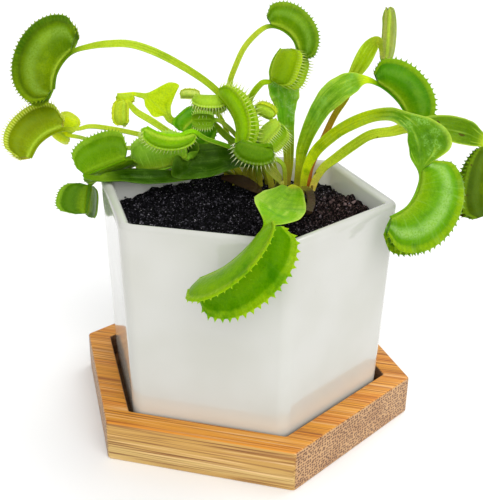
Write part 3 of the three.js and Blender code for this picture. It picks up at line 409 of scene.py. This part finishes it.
def make_stalk(body, leaf, look, seed):
    """A flat keeled blade swept along its rows, its upper side turned to the leaf's face."""
    rows = stalk_rows(leaf)
    last = len(rows) - 1
    t = np.linspace(0, last, last * STALK_STEPS + 1)
    curve = spline(rows, t)
    ahead, behind = spline(rows, np.minimum(t + 0.05, last)), spline(rows, np.maximum(t - 0.05, 0))
    along = unit((ahead - behind)[:, :3])
    side = unit(np.cross(along, unit(leaf.get("face", UPRIGHT_FACE))))
    up = np.cross(side, along)
    half, reach, shift = (column[:, None] for column in curve[:, 3:].T)
    half = np.maximum(half, 0.2)
    turn = 2 * np.pi * np.arange(STALK_RING)[None] / STALK_RING
    v, above = -np.cos(turn), np.sin(turn) >= 0
    thin = np.clip(half / 0.8, 0.4, 1)
    bulge = np.abs(np.sin(turn)) ** 0.8 * thin
    height = np.where(above, BLADE["upper"], -BLADE["lower"]) * bulge + BLADE["cup"] * half * v**2
    from_middle = (v + shift * v**2) * half
    broad = smooth((half - BLADE["stalk_half"]) / (BLADE["blade_half"] - BLADE["stalk_half"]))
    middle = np.exp(-((from_middle / 0.5) ** 2))
    height -= np.where(above, BLADE["furrow"] * broad, BLADE["keel"] * thin) * middle
    t = t[:, None]
    ripple = np.sin(t * 4.1 + seed + np.sign(v) * 1.3) + 0.5 * np.sin(t * 9.7 + seed * 2 - v)
    height += 0.35 * look["wave"] * broad * half * np.abs(v) ** 3 * ripple
    sideways, lengthways = side[:, None] * from_middle[..., None], along[:, None] * (reach * v**2)[..., None]
    rings = curve[:, None, :3] + sideways + up[:, None] * height[..., None] + lengthways
    steps = np.linalg.norm(np.diff(curve[:, :3], axis=0), axis=1)
    from_soil = np.concatenate([[0], np.cumsum(steps)])[:, None] - ROOT_DEPTH
    neck = smooth((t - last + len(RIB)) / 1.2) if "trap" in leaf else 0
    spread = lambda x: np.append(np.broadcast_to(x, (len(t), STALK_RING)).ravel(), [0, 0])
    values = dict(along=t / last, across=np.abs(v), inner=above, broad=broad, neck=neck)
    values["foot"] = 1 - smooth(from_soil / look["base_length"])
    body.add(*tube(rings), **{key: spread(x) for key, x in values.items()})


def lobes(trap, u, v):
    """Both lobes' mid-surface at every u along the midrib and v from -1 to 1 across, with the ways the
    surface runs in and its inner side faces, and how far each point is from the hinge."""
    at, along, out, side = midrib(trap, u)
    from_centre = 2 * u - 1
    spread = (math.radians(trap["fan"]) * from_centre)[:, None]
    axis = (out * np.cos(spread) + along * np.sin(spread))[:, None]
    rounded = 1 - (1 - LOBE["end_reach"]) * np.abs(from_centre) ** 3
    rounded *= 1 - 0.28 * smooth((np.abs(from_centre) - 0.78) / 0.22)
    reach = trap["reach"] * (1 - trap["taper"] * from_centre) * rounded
    w, sign = np.abs(v), np.where(v < 0, -1, 1)
    hinge, brim = (np.where(v < 0, *np.broadcast_to(np.radians(trap[key]), 2)) for key in ("hinge", "brim"))
    curl = brim - hinge - 1e-6
    angle = hinge + curl * w
    lift = ((np.sin(angle) - np.sin(hinge)) / curl)[None, :, None] * reach[:, None, None]
    sideways = (sign * (np.cos(hinge) - np.cos(angle)) / curl)[None, :, None] * reach[:, None, None]
    angle, sign = angle[None, :, None], sign[None, :, None]
    from_hinge = w[None] * reach[:, None]
    opened = smooth(from_hinge / HINGE_SOFT)[..., None]
    inward = unit(axis * np.sin(angle) - side * sign * np.cos(angle) * opened)
    run = axis * np.cos(angle) + side * sign * np.sin(angle)
    return at[:, None] + axis * lift + side * sideways, run, inward, from_hinge


def make_lobes(body, trap, seed):
    """The trap's two lobes as one thin curved sheet: cushions that swell out between the ridged midrib and a
    groove, and a rim that flares past the groove."""
    u = 0.5 - 0.5 * np.cos(np.pi * np.linspace(0, 1, LOBE_STEPS + 1))
    v = np.array([-1] + [-w for w in LOBE_ACROSS[:0:-1]] + LOBE_ACROSS + [1])
    points, _, inward, from_hinge = lobes(trap, u, v)
    w = np.broadcast_to(np.abs(v)[None], from_hinge.shape)
    end = np.abs(2 * u - 1)[:, None]
    rounded = lambda x, start: np.sqrt(1 - np.clip((x - start) / (1 - start), 0, 0.97) ** 2)
    thick = (LOBE["thick"] + (LOBE["margin"] - LOBE["thick"]) * w) * rounded(w, 0.93) * rounded(end, 0.97)
    band = smooth((w - BAND_START) / 0.05)
    ridge = np.exp(-(((from_hinge - RIDGE["place"]) / RIDGE["wide"]) ** 2))
    groove = np.exp(-(((w - BAND_START) / 0.035) ** 2))
    cushion = np.sin(np.pi * np.clip(w / BAND_START, 0, 1) ** 0.85) * smooth((1 - end) / 0.3)
    uneven = 0.12 * np.sin(7.1 * u + seed)[:, None] * np.sin(4 * w + seed * 1.7) * np.sin(np.pi * w)
    flare = band * smooth((w - BAND_START) / (1 - BAND_START))
    inset = uneven - LOBE["swell"] * cushion - LOBE["flare"] * flare + LOBE["groove"] * groove
    inside = points + inward * (inset + thick / 2)[..., None]
    outside = points + inward * (inset - thick / 2 - RIDGE["high"] * ridge)[..., None]
    rows, columns = w.shape
    side = rows * columns
    number = np.arange(side).reshape(rows, columns)
    rim = np.concatenate([number[0], number[1:, -1], number[-1, -2::-1], number[-2:0:-1, 0]]).tolist()
    faces = grid_faces(rows, columns) + grid_faces(rows, columns, start=side, flip=True)
    faces += [(a, a + side, b + side, b) for a, b in zip(rim, rim[1:] + rim[:1])]
    both = lambda x, y: np.concatenate([np.broadcast_to(z, (rows, columns)).ravel() for z in (x, y)])
    values = dict(along=both(u[:, None], u[:, None]), across=both(w, w), band=both(band, band))
    points = np.concatenate([inside.reshape(-1, 3), outside.reshape(-1, 3)])
    body.add(points, faces, inner=both(1, 0), ridge=both(0, ridge), trap=1, **values)


def add_spikes(body, base, run, wide, thin, length, curl, **values):
    """Curved cones from base points along run, with their halves' widths, lengths and sideways bends."""
    turn = 2 * np.pi * np.arange(SPIKE_RING) / SPIKE_RING
    left = 1 - SPIKE_STEPS
    size = (left**1.5 * 0.72 + left * 0.25 + 0.03)[:, None, None]
    flat = (left * 0.85 + 0.15)[:, None, None]
    centre = base[:, None] + run[:, None] * (length[:, None] * SPIKE_STEPS)[..., None]
    centre = centre + curl[:, None] * (length[:, None] * SPIKE_STEPS**2)[..., None]
    across = wide[:, None, None] * np.cos(turn)[:, None] * size
    over = unit(np.cross(run, wide))[:, None, None] * np.sin(turn)[:, None] * flat * thin
    tip = values.pop("tip", np.append(np.repeat(SPIKE_STEPS, SPIKE_RING), [0, 1]))
    for rings in centre[:, :, None] + across + over:
        body.add(*tube(rings), trap=1, along=0.5, tip=tip, **values)


def make_teeth(body, trap, look, count, draw):
    """The cilia: one curved spike for each stretch of the margin, rooted in it."""
    u = (np.arange(count) + 0.5) / count
    step = 0.3 / count
    for end, lash in zip((-1, 1), np.broadcast_to(look["lash"], 2)):
        edge = np.array([float(end)])
        at, run, inward = (x[:, 0] for x in lobes(trap, u, edge)[:3])
        stretch = lobes(trap, u + step, edge)[0][:, 0] - lobes(trap, u - step, edge)[0][:, 0]
        gap = np.linalg.norm(stretch, axis=-1) / (2 * step) / count
        root = np.minimum(0.47 * gap, look["root"] * min(1, lash))
        length = trap["tooth"] * lash * (0.72 + 0.28 * np.sin(np.pi * u))
        length = length * draw.uniform(0.85, 1.12, count) + 0.35
        run = unit(run - inward * 0.1)
        curl = inward * draw.uniform(0.05, 0.3, count)[:, None]
        curl = curl + unit(stretch) * draw.uniform(-0.12, 0.12, count)[:, None]
        base = at - run * 0.35 - inward * 0.22
        add_spikes(body, base, run, unit(stretch) * root[:, None], 0.24, length, curl, band=1, across=1)


def make_trigger_hairs(body, trap):
    """Three short hairs on the inner side of each lobe."""
    for v in (-0.48, 0.48):
        at, run, inward = (x[:, 0] for x in lobes(trap, np.array([0.36, 0.5, 0.64]), np.array([v]))[:3])
        add_spikes(body, at, inward, run * 0.07, 0.07, np.full(3, 1.5), run * 0, inner=1, across=0.5, tip=0.6)


# Materials


def linear(colour):
    """An sRGB colour to 255 as the shader's own numbers."""
    parts = [x / 255 for x in colour]
    return (*(c / 12.92 if c <= 0.04045 else ((c + 0.055) / 1.055) ** 2.4 for c in parts), 1)


def shade(colour, factor):
    """A colour made darker or lighter."""
    return tuple(min(255, round(c * factor)) for c in colour)


class Shader:
    """A material's nodes, made by short calls that return their output."""

    def __init__(self, name):
        self.material = bpy.data.materials.new(name)
        self.material.use_nodes = True
        self.tree = self.material.node_tree

    def put(self, socket, value):
        if isinstance(value, bpy.types.NodeSocket):
            self.tree.links.new(value, socket)
        else:
            socket.default_value = value

    def node(self, kind, result, numbered=None, **named):
        """A node's output, with its settings and inputs by name, and inputs by number after them."""
        node = self.tree.nodes.new("ShaderNode" + kind)
        for key, value in named.items():
            if key in node.inputs:
                self.put(node.inputs[key], value)
            else:
                setattr(node, key, value)
        for number, value in (numbered or {}).items():
            self.put(node.inputs[number], value)
        return node.outputs[result]

    def value(self, name):
        return self.node("Attribute", "Fac", attribute_name=name)

    def position(self, scale=(1, 1, 1)):
        """The place on the object, in millimetres, stretched."""
        object_place = self.node("TexCoord", "Object")
        return self.node("Mapping", "Vector", Vector=object_place, Scale=tuple(s / MM for s in scale))

    def noise(self, scale, detail=3, roughness=0.55, vector=None):
        vector = vector or self.position()
        return self.node("TexNoise", "Fac", Vector=vector, Scale=scale, Detail=detail, Roughness=roughness)

    def part(self, vector, axis):
        return self.node("SeparateXYZ", axis, Vector=vector)

    def join(self, x, y):
        return self.node("CombineXYZ", "Vector", X=x, Y=y)

    def math(self, operation, a, b=0.0):
        return self.node("Math", 0, {0: a, 1: b}, operation=operation)

    def times(self, value, *others):
        for other in others:
            value = self.math("MULTIPLY", value, other)
        return value

    def spread(self, value, low, high, to_low=0.0, to_high=1.0):
        """value's stretch from low to high, moved smoothly onto another."""
        numbered = {0: value, 1: low, 2: high, 3: to_low, 4: to_high}
        return self.node("MapRange", "Result", numbered, interpolation_type="SMOOTHSTEP")

    def mix(self, factor, a, b, blend="MIX"):
        a, b = (linear(colour) if isinstance(colour, tuple) else colour for colour in (a, b))
        return self.node("Mix", 2, {0: factor, 6: a, 7: b}, data_type="RGBA", blend_type=blend)

    def layers(self, colour, *layers):
        """A colour with others mixed in, each as its value goes from low to high, up to an amount."""
        for value, low, high, amount, other, *blend in layers:
            colour = self.mix(self.spread(value, low, high, 0, amount), colour, other, *blend)
        return colour

    def bump(self, height, strength, distance, normal=None):
        under = {} if normal is None else dict(Normal=normal)
        return self.node("Bump", "Normal", Height=height, Strength=strength, Distance=distance * MM, **under)

    def finish(self, **inputs):
        for key, value in inputs.items():
            self.put(self.tree.nodes["Principled BSDF"].inputs[key.replace("_", " ")], value)
        return self.material


def stalk_colour(shader, look, grain):
    """Fibres run along the stalk and a midline along its blade, and the stalk pales at its foot. Its
    underside has painted shade, and broad blades have patches of painted sheen.
    """
    along, across, broad = (shader.value(key) for key in ("along", "across", "broad"))
    colour = shader.layers(
        shader.mix(broad, look["stalk"], look["blade"]),
        (along, *look["deep"], 1, look["blade"]),
        # Painted shade: the stalk's underside is darker.
        (shader.value("inner"), 0.6, 0.4, 0.35, shade(look["stalk"], 0.72)),
    )
    middle = shader.times(shader.spread(across, 0, 0.1, 0.25, 0), broad)
    fibres = shader.noise(1, 3, 0.5, shader.join(shader.times(along, 5), shader.times(across, 4.5)))
    colour = shader.layers(
        shader.mix(middle, colour, look["midline"]),
        (fibres, 0.47, 0.62, 0.55, (196, 216, 150), "MULTIPLY"),
        (fibres, 0.46, 0.34, 0.35, look["edge"]),
        (across, 0.82, 1, 0.6, look["edge"]),
    )
    colour = shader.mix(shader.value("neck"), colour, look.get("neck", look["lobe"]))
    colour = shader.mix(shader.value("foot"), colour, look["base"])
    # Painted sheen: lighter glints in patches where the blade is broad.
    sheen = shader.spread(shader.noise(0.3), 0.44, 0.68), shader.spread(grain, 0.42, 0.6, 0.1, 1)
    return shader.mix(shader.times(*sheen, broad, look["gloss"]), colour, look["painted_sheen_colour"])


def lobe_colour(shader, look, grain, cilia):
    """A lobe has an arc of painted highlight, a line of painted shade in its groove and a lighter band, with
    pale lines in the band under the cilia, and a painted highlight on its outer edge.
    """
    along, across = shader.value("along"), shader.value("across")
    lobe, band = look["lobe"], look["band"]
    colour = shader.layers(
        lobe,
        (along, 0.1, 1, 1, look.get("far", shade(lobe, 0.94))),
        (across, 0.42, 0.06, 0.5, look["near"]),
    )
    colour = shader.mix(shader.value("inner"), colour, look.get("inside", shade(lobe, 0.96)))
    # Painted highlight: a lighter arc across the lobe's middle, broken up by grain.
    arc_highlight = shader.spread(across, 0.38, 0.56), shader.spread(across, 0.74, 0.6)
    arc_highlight = shader.times(*arc_highlight, shader.spread(grain, 0.36, 0.62, 0.3, 1), look["arc_highlight"])
    colour = shader.mix(arc_highlight, colour, look["lit"])
    comb = shader.math("ABSOLUTE", shader.math("SINE", shader.times(along, math.pi * cilia)))
    margin = shader.layers(
        band,
        (along, 0.45, 0.9, 1, look.get("far_band", band)),
        (comb, 0.55, 0.95, look["comb"], look["teeth"]),
    )
    # Painted shade: a darker line in the groove just before the band.
    colour = shader.layers(colour, (across, BAND_START - 0.12, BAND_START, look["line"], shade(lobe, 0.7)))
    colour = shader.mix(shader.value("band"), colour, margin)
    # Painted highlight along the lobe's outermost edge.
    colour = shader.layers(colour, (across, 0.95, 1, 0.5, look.get("rim", shade(band, 1.12))))
    return shader.mix(shader.times(shader.value("ridge"), 0.75), colour, look["ridge"])


def leaf_material(name, look, cilia):
    """Leaf tissue, with lighter and darker patches, veins in the traps and a few brown spots."""
    shader = Shader(name)
    grain, mottle, trap = shader.noise(2.2, 4), shader.noise(0.16), shader.value("trap")
    colour = shader.layers(
        shader.mix(trap, stalk_colour(shader, look, grain), lobe_colour(shader, look, grain, cilia)),
        (shader.value("tip"), 0, 0.3, 1, look["teeth"]),
        (mottle, 0.52, 0.7, 0.14, look["patch"]),
        (mottle, 0.48, 0.3, look["mottle"], look["shadow"], "MULTIPLY"),
        (grain, 0.4, 0.66, 0.25, look["shadow"], "MULTIPLY"),
    )
    fan = shader.join(shader.times(shader.value("along"), 38), shader.times(shader.value("across"), 1.6))
    veins = shader.times(shader.spread(shader.noise(1, 2, 0.5, fan), 0.5, 0.72, 0, look["veins"]), trap)
    colour = shader.mix(veins, colour, look["lit"])
    normal = shader.bump(grain, 0.22, 0.12)
    normal = shader.bump(shader.noise(1.1, 2), 0.4, 0.22, normal)
    normal = shader.bump(shader.noise(0.4), 0.35, 0.6, normal)
    return shader.finish(
        Base_Color=shader.layers(colour, (shader.noise(0.55, 0), 0.74, 0.79, look["spots"], (70, 50, 14))),
        Roughness=shader.spread(grain, 0.3, 0.7, 0.3, 0.42),
        Normal=normal,
        IOR=1.4,
        Specular_IOR_Level=0.15,
        Specular_Tint=(0.7, 1, 0.15, 1),
        Subsurface_Weight=0.35,
        Subsurface_Radius=(0.9, 1.2, 0.1),
        Subsurface_Scale=0.8 * MM,
        Coat_Weight=0.04,
        Coat_Roughness=0.14,
    )


def glaze_material():
    """White glaze, uneven and faintly specked, painted lighter inside the cup as light, and warmer where it
    meets the saucer as a painted reflection of the bamboo.
    """
    shader = Shader("glaze")
    wave, speck = shader.noise(0.05, 2), shader.noise(0.9, 2)
    colour = shader.layers(
        (197, 197, 191),
        (wave, 0.3, 0.7, 1, (191, 191, 183)),
        (speck, 0.68, 0.78, 0.25, (182, 180, 170)),
    )
    # Painted light: the glaze inside the cup is lighter than outside.
    colour = shader.mix(shader.value("inside"), colour, (250, 250, 245))
    # Painted reflection: warm light from the saucer, lighter towards the cup's foot.
    up, foot = shader.part(shader.position(), "Z"), SAUCER["height"]
    return shader.finish(
        Base_Color=shader.layers(colour, (up, foot + 7, foot - 1, 0.6, (226, 219, 205))),
        Roughness=shader.spread(wave, 0.3, 0.7, 0.1, 0.16),
        Normal=shader.bump(wave, 0.12, 0.5),
        IOR=1.5,
        Coat_Weight=0.4,
        Coat_Roughness=0.05,
    )


def bamboo_material():
    """Bamboo strips along X: long fibres on the sides, fibre ends as dots on what faces X, and the recess
    painted dark as shade.
    """
    shader = Shader("bamboo")
    fine = shader.noise(1, 2, 0.5, shader.position((0.03, 2.3, 2.3)))
    fibre = shader.noise(1, 3, 0.6, shader.position((0.015, 1.3, 1.3)))
    strip = shader.noise(1, 1, vector=shader.position((0.008, 0.22, 0.22)))
    across, up = (shader.part(shader.position(), axis) for axis in "YZ")
    across = shader.math("ADD", across, shader.times(shader.noise(0.5), 1.5))
    ends = dict(Vector=shader.join(across, up), Scale=1.25, Randomness=0.55, voronoi_dimensions="2D")
    dots = shader.node("TexVoronoi", "Distance", **ends)
    facing, upward = (shader.part(shader.node("TexCoord", "Normal"), axis) for axis in "XZ")
    side = shader.layers(
        (199, 166, 98),
        (upward, 0.3, 0.8, 1, (222, 150, 40)),
        (strip, 0.4, 0.62, 0.6, (240, 206, 120), "MULTIPLY"),
        (fibre, 0.5, 0.66, 0.7, (178, 130, 72), "MULTIPLY"),
        (fine, 0.52, 0.68, 0.75, (142, 92, 46), "MULTIPLY"),
        (fine, 0.46, 0.3, 0.5, (240, 204, 150)),
    )
    cut = shader.layers(
        (96, 54, 24),
        (dots, 0.18, 0.5, 1, (196, 154, 106)),
        (shader.noise(0.12), 0.4, 0.65, 0.4, (190, 160, 130), "MULTIPLY"),
    )
    colour = shader.layers(side, (shader.math("ABSOLUTE", facing), 0.45, 0.8, 1, cut))
    # Painted shade: the recess under the cup is darkened.
    return shader.finish(
        Base_Color=shader.mix(shader.times(shader.value("burnt"), 0.8), colour, (84, 50, 26)),
        Roughness=0.5,
        Normal=shader.bump(fine, 0.35, 0.15),
        Coat_Weight=0.1,
        Coat_Roughness=0.3,
    )


def peat_material():
    """Crumbs near black, as peat's own dark colour and as painted shade between them, with scattered grey and
    brown ones, browner on the heap.
    """
    shader = Shader("peat")
    crumb, heap = shader.value("shade"), shader.value("brown")
    fine = shader.noise(1.9, 4, 0.7)
    # The near-black ground is peat's own dark colour and painted shade in the gaps between crumbs.
    colour = shader.layers(
        shader.mix(heap, (1, 1, 2), (8, 5, 5)),
        (fine, 0.5, 0.66, 1, shader.mix(heap, (38, 36, 42), (92, 70, 66))),
        (crumb, 0.45, 0.8, 1, shader.mix(heap, (72, 70, 78), (120, 96, 92))),
        (crumb, 0.76, 0.95, 1, (124, 120, 128)),
        (crumb, 0.98, 0.995, 1, (176, 172, 176)),
    )
    return shader.finish(
        Base_Color=colour,
        Roughness=0.75,
        Normal=shader.bump(fine, 0.9, 0.5),
        Specular_IOR_Level=0.06,
    )


# Cup, saucer and peat


def hexagon(corner, rounding, z, centre=(0, 0), corner_steps=10, edge_steps=6):
    """A hexagon with rounded corners at one height, its edges divided too."""
    away = corner - rounding / COS_30
    middle = np.arange(6)[:, None] * np.pi / 3
    turn = middle + np.linspace(-0.5, 0.5, corner_steps + 1) * np.pi / 3
    arcs = [away * part(middle) + rounding * part(turn) for part in (np.cos, np.sin)]
    arcs = np.stack(arcs, axis=-1)
    start, end = arcs[:, -1:], np.roll(arcs[:, :1], -1, axis=0)
    edges = start + (end - start) * (np.arange(1, edge_steps) / edge_steps)[:, None]
    ring = np.concatenate([arcs, edges], axis=1).reshape(-1, 2) + centre
    return np.column_stack([ring, np.full(len(ring), z)])


def make_saucer():
    corner, recess, height, bevel = (SAUCER[key] for key in ("corner", "recess", "height", "bevel"))
    turns = np.radians((0, 22.5, 45, 67.5, 90))
    bend = [(bevel * (1 - math.sin(a)), bevel * (1 - math.cos(a))) for a in turns]
    profile = [(corner - x, z) for x, z in bend] + [(corner - z, height - x) for x, z in bend]
    profile += [(recess + x, height - z) for x, z in bend] + [(recess, SAUCER["floor"])]
    rings = [hexagon(across, SAUCER["rounding"], z, corner_steps=6) for across, z in profile]
    points, faces = tube(rings)
    x, y, z = points.T
    # Where shade is painted: the recess's walls and floor.
    burnt = (np.hypot(x, y) < recess + 0.1) & (z > bevel / 2) & (z < height - bevel / 2)
    add_piece("saucer_bamboo", "saucer", "bamboo", bamboo_material(), points, faces, burnt=burnt)


def cup_side(z):
    """The cup's outer corner distance at a height above its foot."""
    return POT["foot"] + (POT["rim"] - POT["foot"]) * z / POT["height"]


def make_pot():
    """The cup's profile goes up its outside, over the round lip and down to its floor."""
    height, lip = POT["height"], POT["lip"]
    profile = [(cup_side(0) - x, z, 0) for x, z in ((1.4, 0), (0.8, 0.12), (0.35, 0.45))]
    profile += [(cup_side(z), z, 0) for z in (1.2, *np.linspace(4, height - 3.4, 9), height - 2.4)]
    middle = cup_side(height) - CORNER_WALL / 2
    for a in np.linspace(0, math.pi, 13):
        x = middle + CORNER_WALL / 2 * math.cos(a)
        profile.append((x, height - lip * (1 - math.sin(a)), a / math.pi))
    profile += [(cup_side(z) - CORNER_WALL, z, 1) for z in (height - 6, height - 14, 20, POT["floor"])]
    rings = []
    for corner, z, inside in profile:
        rings.append(hexagon(corner, POT["rounding"] - inside * POT["wall"] / 2, POT_BOTTOM + z, POT_CENTRE))
    points, faces = tube(rings)
    # How much the glaze is painted lighter, as light inside the cup.
    inside = smooth(np.array([row[2] for row in profile]) * 1.5 - 0.5)
    inside = np.append(np.repeat(inside, len(rings[0])), [0, 1])
    add_piece("pot_glazed", "pot", "glaze", glaze_material(), points, faces, inside=inside)


def near(spot, x, y):
    """1 at a spot of the peat, and less around it."""
    return math.exp(-((x - spot["x"]) ** 2) / spot["wide_x"] - ((y - spot["y"]) ** 2) / spot["wide_y"])


def soil_height(x, y):
    """Height of the peat's surface: level at the crown, lumpy elsewhere and heaped to the right."""
    lumps = math.sin(x * 0.9 + 1.3) * math.cos(y * 0.8) + 0.6 * math.sin(x * 0.35 - y * 0.55)
    heap = SOIL_HEAP["height"] * near(SOIL_HEAP, x, y)
    return SOIL_TOP + heap + SOIL["lump"] * lumps * (1 - near(CROWN, x, y))


def crumbly(x, y):
    """The surface with its crumbs."""
    spot = Vector((x, y, 0))
    coarse = noise.noise(spot * 0.5) * 0.45 + noise.noise(spot * 1.1) * 0.4
    return soil_height(x, y) + coarse + abs(noise.noise(spot * 2.4)) * 0.6 - 0.1


def brown(x, y):
    """How brown the peat is: only on its heap."""
    return np.exp(-((x - SOIL_HEAP["x"]) ** 2 + (y - SOIL_HEAP["y"]) ** 2) / SOIL_HEAP["brown"] ** 2)


def soil_reach(corner, turns):
    """How far the peat reaches at every turn, in a hexagon with blunt corners."""
    blunt = corner - (POT["rounding"] - POT["wall"] / 2) * (1 / COS_30 - 1)
    return np.minimum(corner * COS_30 / np.cos(turns % (np.pi / 3) - np.pi / 6), blunt)


def hull_faces(corners, side):
    """Triangles between the corners that are no more than a side apart, all facing out."""
    faces = []
    for a, b, c in itertools.combinations(range(len(corners)), 3):
        p, q, r = (Vector(corners[k]) for k in (a, b, c))
        if max((p - q).length, (q - r).length, (r - p).length) < side:
            faces.append((a, b, c) if (q - p).cross(r - p) @ (p + q + r) > 0 else (a, c, b))
    return faces


def make_soil(draw):
    """The peat's body, and on it crumbs with twenty sides and specks with eight."""
    corner = cup_side(SOIL_TOP - POT_BOTTOM) - CORNER_WALL - SOIL["clearance"]
    turns = 2 * np.pi * np.arange(SOIL_AROUND) / SOIL_AROUND
    edge = np.stack([np.cos(turns), np.sin(turns)], axis=1) * soil_reach(corner, turns)[:, None]
    low = POT["floor"] + SOIL["clearance"]
    shrink = (cup_side(low) - CORNER_WALL - SOIL["clearance"]) / corner
    rings = [[(x, y, POT_BOTTOM + low) for x, y in edge * shrink]]
    for scale in 1 - np.linspace(0, 1, SOIL_RINGS, endpoint=False) ** 1.1:
        drop = SOIL["edge"] * float(smooth((scale - 0.985) / 0.015))
        rings.append([(x, y, crumbly(x, y) - drop) for x, y in edge * scale])
    body = Body("shade", "brown")
    points, faces = tube(np.array(rings) + (*POT_CENTRE, 0))
    body.add(points, faces, shade=0.3, brown=brown(points[:, 0], points[:, 1]))
    round_corners = [np.roll((0, a, b * GOLDEN), -k) for k in range(3) for a in (-1, 1) for b in (-1, 1)]
    sharp_corners = [a * axis for axis in np.eye(3) for a in (-1, 1)]
    for kind, corners in ((CRUMB, round_corners), (SPECK, sharp_corners)):
        faces = hull_faces(corners, kind["side"])
        for _ in range(kind["count"]):
            angle, away = draw.uniform(0, 2 * math.pi), math.sqrt(draw.uniform(0, 1))
            away *= soil_reach(corner, angle) - kind["inset"]
            x, y = math.cos(angle) * away, math.sin(angle) * away
            size = kind["least"] + kind["more"] * draw.uniform(0, 1) ** kind["power"]
            size *= 1 + kind["swell"] * float(brown(x, y))
            uneven = draw.uniform(0.65, 1.3, (len(corners), 1)) * draw.uniform(0.6, 1.2, 3)
            turned = draw.uniform(0, 6.3)
            turn = np.array(Matrix.Rotation(turned, 3, Vector(draw.normal(size=3)).normalized()))
            shape = unit(corners) * uneven * size @ turn.T
            spot = np.array((x + POT_CENTRE[0], y + POT_CENTRE[1], crumbly(x, y) + size * 0.2))
            tint = draw.uniform(0, kind["palest"])
            body.add(shape + spot, faces, shade=tint, brown=brown(x, y))
    body.piece("soil_peat", "soil", "peat", peat_material(), smooth_angle=50)


def make_leaves(draw):
    for number, (name, leaf) in enumerate(LEAVES.items()):
        look = {**LOOK, **TONES[leaf["tone"]], **leaf.get("look", {})}
        body = Body("along", "across", "inner", "broad", "foot", "neck", "band", "ridge", "trap", "tip")
        make_stalk(body, leaf, look, number * 1.7)
        cilia = 0
        if "trap" in leaf:
            trap = {**TRAP, **leaf["trap"]}
            cilia = round(trap["teeth"] * look["cilia"])
            make_lobes(body, trap, number * 2.3)
            make_teeth(body, trap, look, cilia, draw)
            make_trigger_hairs(body, trap)
        slot = next(part["material_slot"] for part in frame["record"]["subparts"] if part["node"] == name)
        body.piece(name + "_fine", name, slot, leaf_material(name, look, cilia), smooth_angle=60)


# Floor, light and camera


def add_stage():
    mesh = bpy.data.meshes.new("floor")
    far = FLOOR_REACH * MM
    mesh.from_pydata([(-far, -far, 0), (far, -far, 0), (far, far, 0), (-far, far, 0)], [], [(0, 1, 2, 3)])
    shader = Shader("floor")
    faint = shader.mix(shader.noise(0.01), (252, 252, 252), (250, 250, 250))
    mesh.materials.append(shader.finish(Base_Color=faint, Roughness=0.9, Specular_IOR_Level=0.1))
    add_object("floor", mesh)


def way_to(azimuth, elevation):
    """The way to what stands at an azimuth, counted from the front to the right, and an elevation."""
    turn, rise = math.radians(azimuth), math.radians(elevation)
    return Vector((math.sin(turn) * math.cos(rise), -math.cos(turn) * math.cos(rise), math.sin(rise)))


def add_sun(name, azimuth, elevation, softness, strength):
    """A soft directional light."""
    data = bpy.data.lights.new(name, "SUN")
    data.angle = math.radians(softness)
    data.energy = strength
    light = add_object(name, data)
    light.rotation_mode = "QUATERNION"
    light.rotation_quaternion = (-way_to(azimuth, elevation)).to_track_quat("-Z", "Y")


def add_lights():
    world = bpy.data.worlds.new("studio")
    bpy.context.scene.world = world
    world.use_nodes = True
    background = world.node_tree.nodes["Background"]
    background.inputs["Color"].default_value = (1, 1, 1, 1)
    background.inputs["Strength"].default_value = 0.55
    add_sun("front", azimuth=30, elevation=40, softness=65, strength=2.15)
    add_sun("back", azimuth=150, elevation=60, softness=35, strength=0.9)


def add_camera():
    turn, roll = math.radians(CAMERA["azimuth"]), math.radians(CAMERA["roll"])
    back = way_to(CAMERA["azimuth"], CAMERA["elevation"])
    right = Vector((math.cos(turn), math.sin(turn), 0))
    up = back.cross(right)
    right, up = right * math.cos(roll) + up * math.sin(roll), up * math.cos(roll) - right * math.sin(roll)
    data = bpy.data.cameras.new("camera")
    data.sensor_width = SENSOR
    data.lens = SENSOR * FOCAL_PIXELS / LONG_SIDE_PIXELS
    data.clip_start, data.clip_end = NEAREST * MM, FARTHEST * MM
    camera = add_object("camera", data)
    eye = (Vector(CAMERA["target"]) + back * CAMERA["distance"]) * MM
    camera.matrix_world = Matrix.Translation(eye) @ Matrix((right, up, back)).transposed().to_4x4()
    bpy.context.scene.camera = camera


add_camera()
add_stage()
add_lights()
make_saucer()
make_pot()
make_soil(np.random.default_rng(7))
make_leaves(np.random.default_rng(11))

bpy.context.scene.view_settings.view_transform = "Standard"
